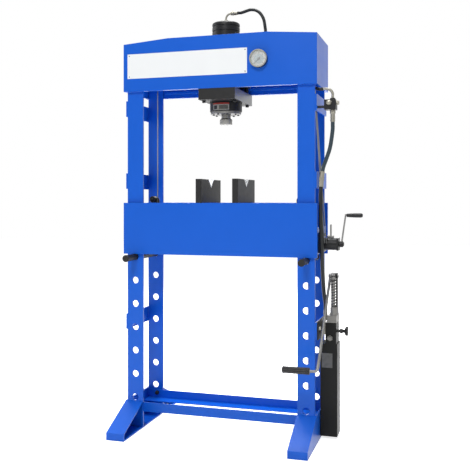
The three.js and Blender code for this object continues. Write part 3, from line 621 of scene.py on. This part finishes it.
low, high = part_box("pressure_head")
radius = (high.x - low.x) / 2
turned_piece("pressure_head_turned", [(0, low.z), (radius - 2.5 * MM, low.z),
                                      (radius - 1 * MM, low.z + 0.6 * MM),
                                      (radius, low.z + 2.2 * MM), (radius, high.z - 5 * MM),
                                      (radius - 5 * MM, high.z),
                                      (17 * MM, high.z), (17 * MM, low.z + 7.7 * MM), (0, low.z + 7.7 * MM)],
             AXIS, "ram", "steel", STEEL, "pressure_head")
low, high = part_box("ram")
piston = (high.x - low.x) / 2
turned_piece("ram_turned", [(0, low.z), (16.5 * MM, low.z), (16.5 * MM, 1485 * MM), (ROD - 1 * MM, 1485 * MM),
                            (ROD, 1486 * MM), (ROD, high.z - 40 * MM), (piston, high.z - 40 * MM),
                            (piston, high.z - 22 * MM),
                            (piston - 3 * MM, high.z - 22 * MM), (piston - 3 * MM, high.z - 17 * MM),
                            (piston, high.z - 17 * MM),
                            (piston, high.z), (0, high.z)], AXIS, "ram", "steel", STEEL, "ram")


# ---- Grips and knob --------------------------------------------------------------------------
low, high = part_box("pedal_grip")
centre = Vector((0, middle(low, high).y, middle(low, high).z))
outer = (high.z - low.z) / 2
length = high.x - low.x
rows, around = 132, 72
verts = []
for r in range(rows + 1):
    along = low.x + 3 * MM + (length - 6 * MM) * r / rows
    for i in range(around):
        angle = 2 * math.pi * i / around
        cross = math.sin(6 * angle + 22 * math.pi * r / rows) * math.sin(6 * angle - 22 * math.pi * r / rows)
        plain = 1.0 if 3 < r < rows - 3 else 0.0
        size = outer - 2.4 * MM + plain * 2.4 * MM * max(0.0, cross) ** 0.5 + (1 - plain) * 1.8 * MM
        verts.append(Vector((along, centre.y + size * math.cos(angle), centre.z + size * math.sin(angle))))
faces = net_faces(rows, around)
cap = lathe([(0, low.x), (outer - 4 * MM, low.x), (outer - 1.5 * MM, low.x + 1.5 * MM),
             (outer - 0.6 * MM, low.x + 3 * MM),
             (0, low.x + 3 * MM)], centre, "x", around)
collar = lathe([(6.3 * MM, high.x), (outer - 3 * MM, high.x), (outer - 0.6 * MM, high.x - 1.5 * MM),
                (outer - 0.6 * MM, high.x - 3 * MM), (6.3 * MM, high.x - 3 * MM), (6.3 * MM, high.x)], centre,
                "x", around)
grip = place(new_mesh("pedal_grip_knurled", *merged((verts, faces), cap, collar), smooth_angle=70), "lever",
             "rubber", GRIPPING,
             "pedal_grip")
# The raised knurl tops take the lighter grey, a painted highlight
grip.data.materials.append(KNURL_TOP_HIGHLIGHT)
for polygon in grip.data.polygons:
    reach = math.hypot(polygon.center.y - middle(low, high).y, polygon.center.z - middle(low, high).z)
    inside = low.x + 6 * MM < polygon.center.x < high.x - 6 * MM
    polygon.material_index = 1 if inside and reach > outer - 0.9 * MM else 0

# The pump's lever: bent rod, pivot shaft and the nose that presses the plunger.
cheek_left, cheek_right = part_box("pump_cheek_left"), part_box("pump_cheek_right")
plunger_low, plunger_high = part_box("pump_plunger")
pivot = Vector((0, 2 * MM, 742 * MM))  # the axis of pump_lever_swing
rod_x = middle(plunger_low, plunger_high).x - 20 * MM
pedal = Vector((0, centre.y, centre.z))
rod = [(rod_x, pivot.y, pivot.z)]
rod += [(rod_x, pivot.y + share * (pedal.y - pivot.y), pivot.z + share * (pedal.z + 16 * MM - pivot.z))
        for share in (0.25, 0.5, 0.75, 0.92)]
rod += [(rod_x - 6 * MM, pedal.y, pedal.z + 4 * MM), (rod_x - 24 * MM, pedal.y, pedal.z),
        (rod_x - 50 * MM, pedal.y, pedal.z),
        (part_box("pedal_grip")[0].x + 4 * MM, pedal.y, pedal.z)]
shaft = lathe([(0, rod_x - 8 * MM), (6.9 * MM, rod_x - 8 * MM), (7.9 * MM, rod_x - 7 * MM),
               (7.9 * MM, cheek_right[1].x + 3 * MM),
               (6.9 * MM, cheek_right[1].x + 4 * MM), (0, cheek_right[1].x + 4 * MM)], pivot, "x", 48)
hub = lathe([(7 * MM, rod_x - 6 * MM), (11 * MM, rod_x - 6 * MM), (12 * MM, rod_x - 5 * MM),
             (12 * MM, cheek_left[0].x - 0.4 * MM),
             (7 * MM, cheek_left[0].x - 0.4 * MM)], pivot, "x", 48)
inner_x = (cheek_left[1].x + 0.4 * MM, cheek_right[0].x - 0.4 * MM)
nose = Vector((0, middle(plunger_low, plunger_high).y, pivot.z + 10 * MM))
eye = lathe([(7 * MM, inner_x[0]), (13 * MM, inner_x[0]), (13 * MM, inner_x[1]), (7 * MM, inner_x[1])], pivot,
            "x", 40)
tip = lathe([(0, inner_x[0]), (9 * MM, inner_x[0]), (9 * MM, inner_x[1]), (0, inner_x[1])], nose, "x", 40)
outline = [(nose.y, nose.z - 9 * MM), (pivot.y, nose.z - 9 * MM), (pivot.y, pivot.z + 12 * MM),
           (nose.y, nose.z + 9 * MM)]
web = ([Vector((x, y, z)) for x in inner_x for y, z in outline], PRISM_FACES)
place(new_mesh("pump_lever_bent", *merged(pipe(smooth_route(rod), 6 * MM, 24), shaft, hub, eye, tip, web)),
      "lever", "steel", GALVANISED,
      "pump_lever")

low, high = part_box("crank_grip")
centre = Vector((0, middle(low, high).y, middle(low, high).z))
radius = (high.z - low.z) / 2
length = high.x - low.x
profile = [(4.8 * MM, low.x), (radius - 3 * MM, low.x), (radius - 2 * MM, low.x + 1.5 * MM)]
for k in range(1, 25):
    share = k / 25
    profile.append((radius - 2 * MM + 2 * MM * math.sin(math.pi * share * 0.62),
                    low.x + 2 * MM + (length - 9 * MM) * share))
profile += [(radius - 0.8 * MM, high.x - 4 * MM), (radius - 3 * MM, high.x - 1 * MM),
            (radius - 5 * MM, high.x), (0, high.x),
            (0, high.x - 2.7 * MM), (4.8 * MM, high.x - 2.7 * MM), (4.8 * MM, low.x)]
turned_piece("crank_grip_moulded", profile, centre, "crank_handle", "rubber", GRIPPING, "crank_grip",
             axis="x", segments=56)

low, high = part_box("release_knob")
centre = Vector((0, middle(low, high).y, middle(low, high).z))
radius = (high.z - low.z) / 2
disc = high.x - 14 * MM
levels = [(0.0, disc), (0.62, disc), (0.9, disc + 1.2 * MM), (1.0, disc + 4 * MM), (1.0, disc + 10 * MM),
          (0.93, disc + 12.8 * MM), (0.8, disc + 13.8 * MM), (0.0, disc + 14 * MM)]
around = 80
verts = []
for share, along in levels:
    for i in range(around):
        angle = 2 * math.pi * i / around
        size = share * (radius - 1.5 * MM + 1.5 * MM * math.cos(5 * angle))
        verts.append(Vector((along, centre.y + size * math.cos(angle), centre.z + size * math.sin(angle))))
faces = net_faces(len(levels) - 1, around)
stem = lathe([(0, low.x), (6 * MM, low.x), (6 * MM, low.x + 10 * MM), (7.5 * MM, low.x + 11 * MM),
              (7.5 * MM, disc - 4 * MM), (9 * MM, disc), (0, disc)], centre, "x", 40)
nut = lathe([(0, low.x + 12 * MM), (11 * MM, low.x + 12 * MM), (11 * MM, low.x + 24 * MM),
             (9.5 * MM, low.x + 26 * MM),
             (0, low.x + 26 * MM)], centre, "x", 6)
place(new_mesh("release_knob_moulded", *merged((verts, faces), stem, nut), smooth_angle=45), "knob",
      "black_paint", BLACK,
      "release_knob")

# ---- CAD nodes that stay: their own materials and smooth shading -----------------------------
KEPT = {
    "valve_ferrule": ZINC, "valve_elbow": ZINC, "top_pipe": ZINC, "winch_pawl": GALVANISED,
    "winch_drum": DARK,
    "pulley_left": DARK, "pulley_right": DARK, "filler_plug": CAST, "pump_plunger": STEEL,
    "gauge_case": ZINC, "gauge_glass": GLASS, "gauge_needle": INK, "winch_cable_left": CABLE,
    "winch_cable_right": CABLE,
    "name_plate": WHITE,
}
for node, material in KEPT.items():
    mesh = NODES[node].data
    mesh.materials.clear()
    mesh.materials.append(material)
    mesh.polygons.foreach_set("material_index", [0] * len(mesh.polygons))
    mesh.polygons.foreach_set("use_smooth", [True] * len(mesh.polygons))
    mesh.set_sharp_from_angle(angle=math.radians(38))


# ---- Plates, housings and castings: the CAD shape with its edges rounded ---------------------
def finished(node, slot, material, rounding=1.0, *areas):
    """A CAD node's copy, its edges rounded. Each area is (material, test of centre and normal)."""
    mesh = NODES[node].data.copy()
    mesh.name = node + "_finish"
    mesh.materials.clear()
    work = bmesh.new()
    work.from_mesh(mesh)
    bmesh.ops.remove_doubles(work, verts=work.verts, dist=2e-6)
    bmesh.ops.dissolve_limit(work, angle_limit=math.radians(0.4), verts=work.verts, edges=work.edges)
    for face in work.faces:
        face.material_index = 0
        for index, (_, test) in enumerate(areas):
            if test(face.calc_center_median(), face.normal):
                face.material_index = index + 1
        face.smooth = True
    work.to_mesh(mesh)
    work.free()
    paints = [material] + [paint for paint, _ in areas]
    for paint in paints:
        mesh.materials.append(paint)
    obj = bpy.data.objects.new(node + "_finish", mesh)
    bpy.context.scene.collection.objects.link(obj)
    bevel = obj.modifiers.new("rounded", "BEVEL")
    bevel.width = rounding * MM
    bevel.segments = 2
    bevel.limit_method = "ANGLE"
    bevel.angle_limit = math.radians(40)
    flat = obj.modifiers.new("flat_faces", "WEIGHTED_NORMAL")
    flat.weight = 100
    bpy.context.view_layer.update()
    rounded = bpy.data.meshes.new_from_object(obj.evaluated_get(bpy.context.evaluated_depsgraph_get()))
    obj.modifiers.clear()
    obj.data = rounded
    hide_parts(node)
    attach(obj, body_of(NODES[node])[0])
    return obj


def end_face(centre, normal):
    return abs(normal.x) > 0.9


def notch_face(centre, normal):
    return abs(normal.y) > 0.2 and normal.z > 0.2


def bolt_face(centre, normal):
    low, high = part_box("pump_bracket")
    return centre.x > low.x + 7.4 * MM


crank_low, crank_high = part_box("winch_crank")


def hub_face(centre, normal):
    return centre.z < crank_low.z + 29 * MM and abs(centre.y - middle(crank_low, crank_high).y) < 15 * MM


for node in ("crown", "bed", "base_beam_front", "base_beam_rear", "winch_plate"):
    finished(node, "blue_paint", BLUE, 1.2)
finished("foot_left", "blue_paint", BLUE, 2.8)
finished("foot_right", "blue_paint", BLUE, 2.8)
for level in ("upper", "middle", "lower"):
    for side in ("left", "right"):
        finished(f"tie_plate_{level}_{side}", "blue_paint", BLUE, 1.0)
finished("carriage", "dark_steel", DARK, 1.2, (GROUND, end_face))
for side in ("left", "right"):
    finished(f"v_plate_{side}", "dark_steel", DARK, 1.2, (GROUND, notch_face))
    finished(f"bed_pin_{side}", "dark_steel", DARK, 1.5)
    finished(f"pump_cheek_{side}", "black_paint", BLACK, 0.6)
finished("valve_block", "black_paint", BLACK, 1.0)
finished("winch_housing", "black_paint", BLACK, 1.0)
finished("winch_crank", "steel", GALVANISED, 0.8, (BLACK, hub_face))
finished("pump_body", "black_paint", TANK, 2.0)
finished("pump_bracket", "black_paint", BLACK, 0.8, (ZINC, bolt_face))
finished("pump_head", "aluminium", CAST, 1.2)

# ---- Gauge: dial, marks and a rounded bezel ---------------------------------------------------
case_low, case_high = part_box("gauge_case")
glass_low, glass_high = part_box("gauge_glass")
gauge = Vector((middle(case_low, case_high).x, 0, middle(case_low, case_high).z))
needle_low, needle_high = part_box("gauge_needle")
dial_y = case_high.y - 6 * MM + SEAT
dial_radius = (glass_high.x - glass_low.x) / 2 - 0.3 * MM
dial_front = needle_high.y + 0.05 * MM


def ring_marks(count, start, stop, inner, outer, width):
    """Thin radial strokes on the dial, over an arc in degrees clockwise from the top."""
    parts = []
    for k in range(count):
        angle = math.radians(start + (stop - start) * k / (count - 1))
        direction = Vector((math.sin(angle), 0, math.cos(angle)))
        across = Vector((math.cos(angle), 0, -math.sin(angle))) * width / 2
        corners = [gauge + direction * inner - across, gauge + direction * inner + across,
                   gauge + direction * outer + across, gauge + direction * outer - across]
        near = Vector((0, dial_front - 0.02 * MM, 0))
        far = Vector((0, dial_front + 0.1 * MM, 0))
        verts = [c + near for c in corners] + [c + far for c in corners]
        parts.append((verts, PRISM_FACES))
    return merged(*parts)


def arc_band(start, stop, inner, outer, steps=40):
    """A thin curved stroke on the dial, over an arc in degrees clockwise from the top."""
    verts = []
    for k in range(steps + 1):
        angle = math.radians(start + (stop - start) * k / steps)
        direction = Vector((math.sin(angle), 0, math.cos(angle)))
        for y in (dial_front - 0.02 * MM, dial_front + 0.1 * MM):
            verts += [gauge + direction * inner + Vector((0, y, 0)),
                      gauge + direction * outer + Vector((0, y, 0))]
    return verts, strip_faces(steps)


dial = lathe([(0, dial_front), (dial_radius, dial_front), (dial_radius, dial_y), (0, dial_y)], gauge, "y", 72)
place(new_mesh("gauge_dial", *dial), "frame", "white_plate", DIAL)
marks = merged(ring_marks(41, -135, 135, dial_radius - 7 * MM, dial_radius - 3.5 * MM, 0.35 * MM),
               ring_marks(9, -135, 135, dial_radius - 9.5 * MM, dial_radius - 3.5 * MM, 0.9 * MM))
centre_disc = lathe([(0, dial_front - 0.04 * MM), (dial_radius * 0.62, dial_front - 0.04 * MM),
                     (dial_radius * 0.62, dial_y), (0, dial_y)],
                    gauge, "y", 60)
place(new_mesh("gauge_dial_centre", *centre_disc), "frame", "white_plate", DIAL_CENTRE)
place(new_mesh("gauge_marks", *marks), "frame", "black_paint", INK)
place(new_mesh("gauge_scale_red", *arc_band(95, 135, dial_radius - 3 * MM, dial_radius - 1.6 * MM)), "frame",
      "red_paint", RED)
place(new_mesh("gauge_scale_green", *arc_band(-135, 95, dial_radius - 3 * MM, dial_radius - 1.6 * MM)),
      "frame", "blue_paint", GREEN)
inner = glass_high.x - gauge.x + 0.3 * MM
outer = (case_high.x - case_low.x) / 2
ring = []
for k in range(13):
    angle = math.pi * k / 12
    ring.append((middle(inner, outer) - math.cos(angle) * (outer - inner) / 2,
                 case_low.y + 1.0 * MM - 0.9 * MM * math.sin(angle)))
ring += [(outer, case_low.y + 9 * MM), (inner, case_low.y + 9 * MM), ring[0]]
place(new_mesh("gauge_bezel_ring", *lathe(ring, gauge, "y", 96)), "frame", "steel", ZINC)
needle_hub = lathe([(0, needle_low.y - 1.2 * MM), (2.2 * MM, needle_low.y - 1.2 * MM),
                    (3.2 * MM, needle_low.y - 0.1 * MM),
                    (0, needle_low.y - 0.1 * MM)], gauge, "y", 32)
place(new_mesh("needle_cap", *needle_hub), "needle", "steel", STEEL)

for k in range(7):
    angle = math.radians(-135 + 45 * k)
    figure = bpy.data.curves.new(f"gauge_number_{k}", "FONT")
    figure.body = str(10 * k)
    figure.size = 5.5 * MM
    figure.align_x = "CENTER"
    figure.align_y = "CENTER"
    figure.extrude = 0.05 * MM
    text = bpy.data.objects.new(f"gauge_number_{k}_text", figure)
    bpy.context.scene.collection.objects.link(text)
    reach = dial_radius * 0.69
    text.matrix_world = (Matrix.Translation((gauge.x + reach * math.sin(angle), dial_front - 0.08 * MM,
                                             gauge.z + reach * math.cos(angle)))
                         @ Matrix.Rotation(math.pi / 2, 4, "X"))
    bpy.context.view_layer.update()
    mesh = bpy.data.meshes.new_from_object(text.evaluated_get(bpy.context.evaluated_depsgraph_get()))
    number = bpy.data.objects.new(f"gauge_number_{k}", mesh)
    number.matrix_world = text.matrix_world
    bpy.context.scene.collection.objects.link(number)
    bpy.data.objects.remove(text)
    place(number, "frame", "black_paint", INK)

# ---- Name plate: left blank, with four small rivets ------------------------------------------
plate_low, plate_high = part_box("name_plate")
rivets = [lathe([(0, plate_low.y - 1.1 * MM), (1.6 * MM, plate_low.y - 1.0 * MM),
                 (3.0 * MM, plate_low.y - 0.1 * MM),
                 (0, plate_low.y - 0.1 * MM)], (x, 0, z), "y", 20)
          for x in (plate_low.x + 9 * MM, plate_high.x - 9 * MM)
          for z in (plate_low.z + 9 * MM, plate_high.z - 9 * MM)]
place(new_mesh("name_plate_rivets", *merged(*rivets)), "frame", "steel", STEEL)

# ---- Bolts -----------------------------------------------------------------------------
heads = []
rear_wall_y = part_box("base_beam_rear")[1].y - 5 * MM
FOOT_BOLTS = [(-0.19, 0.045), (-0.115, 0.075)]
beam_low, beam_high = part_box("base_beam_front")
for side in ("left", "right"):
    low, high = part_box(f"column_front_{side}")
    x = middle(low, high).x
    sign = 1 if side == "right" else -1
    for y, out in ((low.y, -1), (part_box(f"column_rear_{side}")[1].y, 1)):
        heads.append(bolt((x + sign * 18 * MM, y + out * 0.1 * MM, middle(beam_low, beam_high).z), "y",
                          17 * MM, out))
    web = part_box(f"foot_{side}")
    heads.append(bolt((x - sign * 12 * MM, rear_wall_y - 0.1 * MM, middle(beam_low, beam_high).z + 8 * MM),
                      "y", 17 * MM, -1))
    inside = (web[0].x + 6.2 * MM) if side == "left" else (web[1].x - 6.2 * MM)
    for y, z in FOOT_BOLTS:
        heads.append(bolt((inside, y, z), "x", 15 * MM, -sign))
place(new_mesh("base_beam_bolts", *merged(*heads)), "frame", "dark_steel", DARK)

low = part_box("winch_housing")[0]
heads = [bolt((low.x + 10.2 * MM, y, z), "x", 13 * MM, 1)
         for y in (low.y + 12 * MM, low.y + 92 * MM) for z in (low.z + 10 * MM, low.z + 81 * MM)]
place(new_mesh("winch_housing_bolts", *merged(*heads)), "frame", "steel", ZINC)

gland_heads = []
for k in range(8):
    angle = 2 * math.pi * (k + 0.5) / 8
    x, y = AXIS.x + 59 * MM * math.cos(angle), AXIS.y + 59 * MM * math.sin(angle)
    z = gland_low.z - 0.1 * MM
    gland_heads.append(lathe([(0, z), (5 * MM, z), (5 * MM, z - 3.4 * MM), (4.2 * MM, z - 4.2 * MM),
                              (2.6 * MM, z - 4.2 * MM),
                              (2.6 * MM, z - 1.5 * MM), (0, z - 1.5 * MM)], (x, y, 0), "z", 24))
place(new_mesh("gland_screws", *merged(*gland_heads)), "carriage", "dark_steel", DARK)
heads = [bolt((x, y, carriage_low.z - 0.1 * MM), "z", 15 * MM, -1)
         for x in (carriage_low.x + 14 * MM, carriage_high.x - 14 * MM)
         for y in (carriage_low.y + 40 * MM, carriage_high.y - 40 * MM)]
place(new_mesh("carriage_bolts", *merged(*heads)), "carriage", "black_paint", BLACK)

# ---- Fittings on the hoses, cable sockets and the winch's stay --------------------------------
def crimped(centre, axis, radius, along, hexagon_at, across):
    """A hexagon nut and three crimp rings round a straight ferrule."""
    parts = []
    for place_at in along:
        parts.append(lathe([(radius, place_at - 2 * MM), (radius + 0.9 * MM, place_at - 1.2 * MM),
                            (radius + 0.9 * MM, place_at + 1.2 * MM),
                            (radius, place_at + 2 * MM)], centre, axis, 28))
    size = across / math.sqrt(3)
    low_end, high_end = hexagon_at
    parts.append(lathe([(radius * 0.8, low_end), (size - 1.2 * MM, low_end), (size, low_end + 1.4 * MM),
                        (size, high_end - 1.4 * MM),
                        (size - 1.2 * MM, high_end), (radius * 0.8, high_end)], centre, axis, 6))
    return merged(*parts)


low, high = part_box("valve_ferrule")
centre = (middle(low, high).x, middle(low, high).y, 0)
radius = (high.x - low.x) / 2
nut = crimped(centre, "z", radius, [low.z + 7 * MM, low.z + 14 * MM, low.z + 21 * MM],
              (high.z - 17 * MM, high.z - 1 * MM), 22 * MM)
place(new_mesh("valve_ferrule_nut", *nut), "frame", "steel", ZINC)
port = Vector((PUMP_HOSE[-1][0], PUMP_HOSE[-1][1], 0))
nut = crimped(port, "z", 9 * MM, [0.583, 0.576, 0.569], (0.5435, 0.558), 21 * MM)
place(new_mesh("pump_port_nut", *nut), "frame", "steel", ZINC)
start = Vector(TOP_HOSE[0])
nut = crimped((0, start.y, start.z), "x", 9 * MM, [start.x - 6 * MM, start.x - 13 * MM],
              (start.x - 31 * MM, start.x - 19 * MM), 21 * MM)
place(new_mesh("top_pipe_nut", *nut), "carriage", "steel", ZINC)

path = [p for p in smooth_route(PUMP_HOSE, 24) if 1.151 < p.z < SLEEVE_END]
path = [path[0], *path[4:-4:4], path[-1]]
sleeve = pipe(path, 11.2 * MM, 24)
mid = path[len(path) // 2]
tilt = (path[0] - path[-1]).normalized()
ring = pipe([mid - tilt * 8 * MM, mid + tilt * 8 * MM], 13.2 * MM, 6)
coupling = new_mesh("hose_coupling", *merged(sleeve, ring))
place(coupling, "frame", "steel", ZINC)

for side in ("left", "right"):
    low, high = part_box(f"lift_cable_{side}")
    x, y = middle(low, high).x, middle(low, high).y
    socket = lathe([(2.7 * MM, low.z + 1 * MM), (9 * MM, low.z + 1 * MM), (11 * MM, low.z + 3 * MM),
                    (11 * MM, low.z + 30 * MM),
                    (9.5 * MM, low.z + 33 * MM), (9.5 * MM, low.z + 44 * MM), (6 * MM, low.z + 52 * MM),
                    (2.7 * MM, low.z + 54 * MM),
                    (2.7 * MM, low.z + 1 * MM)], (x, y, 0), "z", 40)
    place(new_mesh(f"cable_socket_{side}", *socket), "bed", "black_paint", BLACK)

bed_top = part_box("bed")[1].z
low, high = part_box("lift_cable_left")
anchor_y = middle(low, high).y
clamp_at = Vector((middle(low, high).x - 21 * MM, 0, bed_top + 16.2 * MM))
clamp = lathe([(0, anchor_y - 17 * MM), (14 * MM, anchor_y - 17 * MM), (16 * MM, anchor_y - 15 * MM),
               (16 * MM, anchor_y + 15 * MM),
               (14 * MM, anchor_y + 17 * MM), (0, anchor_y + 17 * MM)], clamp_at, "y", 44)
nut = bolt((clamp_at.x, anchor_y - 17 * MM, clamp_at.z), "y", 13 * MM, -1)
place(new_mesh("cable_clamp_left", *merged(clamp, nut)), "bed", "black_paint", BLACK)

block_low, block_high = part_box("valve_block")
front = Vector((middle(block_low, block_high).x, block_low.y - 0.1 * MM, block_high.z - 22 * MM))
plug = bolt((block_high.x - 30 * MM, front.y, front.z), "y", 19 * MM, -1)
stub = bolt((block_high.x + 0.1 * MM, middle(block_low, block_high).y, front.z), "x", 17 * MM, 1)
place(new_mesh("valve_plugs", *merged(plug, stub)), "frame", "steel", ZINC)

plate_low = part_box("winch_plate")[0]
housing_low, housing_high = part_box("winch_housing")
tab_y = middle(housing_low, housing_high).y
face = housing_low.x + 0.4 * MM
verts = [(face, y, z) for y, z in ((tab_y - 30 * MM, housing_low.z - 0.5 * MM),
                                   (tab_y + 30 * MM, housing_low.z - 0.5 * MM),
                                   (tab_y, plate_low.z + 1 * MM))]
verts += [(face + 9 * MM, y, z) for _, y, z in verts]
place(new_mesh("winch_stay_tab", [Vector(v) for v in verts],
               [(0, 1, 2), (5, 4, 3), (0, 3, 4, 1), (1, 4, 5, 2), (2, 5, 3, 0)]),
      "frame", "steel", GROUND)

# ---- Weld beads ----------------------------------------------------------------------------------
def bead(start, end, radius=2.4 * MM, ripple=5 * MM):
    """A rippled weld bead along a line."""
    start, end = Vector(start), Vector(end)
    steps = max(8, int((end - start).length / ripple * 4))
    verts = []
    tangent = (end - start).normalized()
    side = tangent.orthogonal().normalized()
    up = tangent.cross(side)
    sides = 8
    for k in range(steps + 1):
        size = radius * (0.84 + 0.16 * abs(math.sin(math.pi * k / 4)))
        size *= 0.3 if k in (0, steps) else 1.0
        point = start.lerp(end, k / steps)
        for i in range(sides):
            angle = 2 * math.pi * i / sides
            verts.append(point + size * (math.cos(angle) * side + math.sin(angle) * up))
    faces = net_faces(steps, sides)
    faces += [tuple(reversed(range(sides))), tuple(range(steps * sides, steps * sides + sides))]
    return verts, faces


crown_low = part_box("crown")[0]
beads = []
for side in ("left", "right"):
    for row in ("front", "rear"):
        low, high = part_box(f"column_{row}_{side}")
        face = low.y if row == "front" else high.y
        beads.append(bead((low.x, face, crown_low.z), (high.x, face, crown_low.z)))
    foot_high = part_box(f"foot_{side}")[1]
    low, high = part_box(f"column_front_{side}")
    beads.append(bead((low.x + 2 * MM, low.y, foot_high.z), (high.x - 2 * MM, low.y, foot_high.z), 2 * MM))
for level in ("upper", "middle", "lower"):
    for side, sign in (("left", -1), ("right", 1)):
        low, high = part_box(f"tie_plate_{level}_{side}")
        face = high.x if sign < 0 else low.x
        for y in (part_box(f"column_front_{side}")[1].y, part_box(f"column_rear_{side}")[0].y):
            beads.append(bead((face, y, low.z + 2 * MM), (face, y, high.z - 2 * MM), 2 * MM))
place(new_mesh("frame_welds", *merged(*beads), smooth_angle=80), "frame", "blue_paint", BLUE)
bed_low, bed_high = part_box("bed")
beads = []
for x in (-362 * MM, 362 * MM):
    for y in (bed_low.y + 15 * MM, bed_high.y - 15 * MM):
        beads.append(bead((x + AXIS.x + 95 * MM, y, bed_low.z + 4 * MM),
                          (x + AXIS.x + 95 * MM, y, bed_high.z - 4 * MM), 2.2 * MM))
place(new_mesh("bed_welds", *merged(*beads), smooth_angle=80), "bed", "blue_paint", BLUE)

# ---- Labels: blank ------------------------------------------------------------------------------
def arc_patch(name, radius, z0, z1, from_deg, to_deg, slot, material, thickness=0.35 * MM):
    """A thin curved label on the collar's front, angles from the -Y direction."""
    verts, steps = [], 16
    for k in range(steps + 1):
        angle = math.radians(-90 + from_deg + (to_deg - from_deg) * k / steps)
        for r in (radius + 0.05 * MM, radius + thickness):
            for z in (z0, z1):
                verts.append(Vector((AXIS.x + r * math.cos(angle), AXIS.y + r * math.sin(angle), z)))
    return place(new_mesh(name, verts, strip_faces(steps)), "carriage", slot, material)


label_low, label_high = gland_low.z + 16 * MM, gland_low.z + 43 * MM
arc_patch("collar_label", COLLAR, label_low, label_high, -34, 28, "white_plate", LABEL)
arc_patch("collar_label_band", COLLAR, label_high + 0.4 * MM, label_high + 7 * MM, -34, 28, "red_paint", RED)
arc_patch("collar_label_panel", COLLAR + 0.35 * MM, label_low + 4 * MM, label_high - 4 * MM, -8, 24,
          "dark_steel", SCUFFED, 0.25 * MM)
arc_patch("collar_label_mark", COLLAR + 0.35 * MM, label_low + 4 * MM, label_high - 5 * MM, -30, -16,
          "black_paint", INK, 0.25 * MM)

body_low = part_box("pump_body")[0]
verts, faces = slab((0.379, body_low.y - 0.6 * MM, 0.328), (0.428, body_low.y - 0.1 * MM, 0.394))
place(new_mesh("tank_label", verts, faces), "frame", "white_plate", SCUFFED)
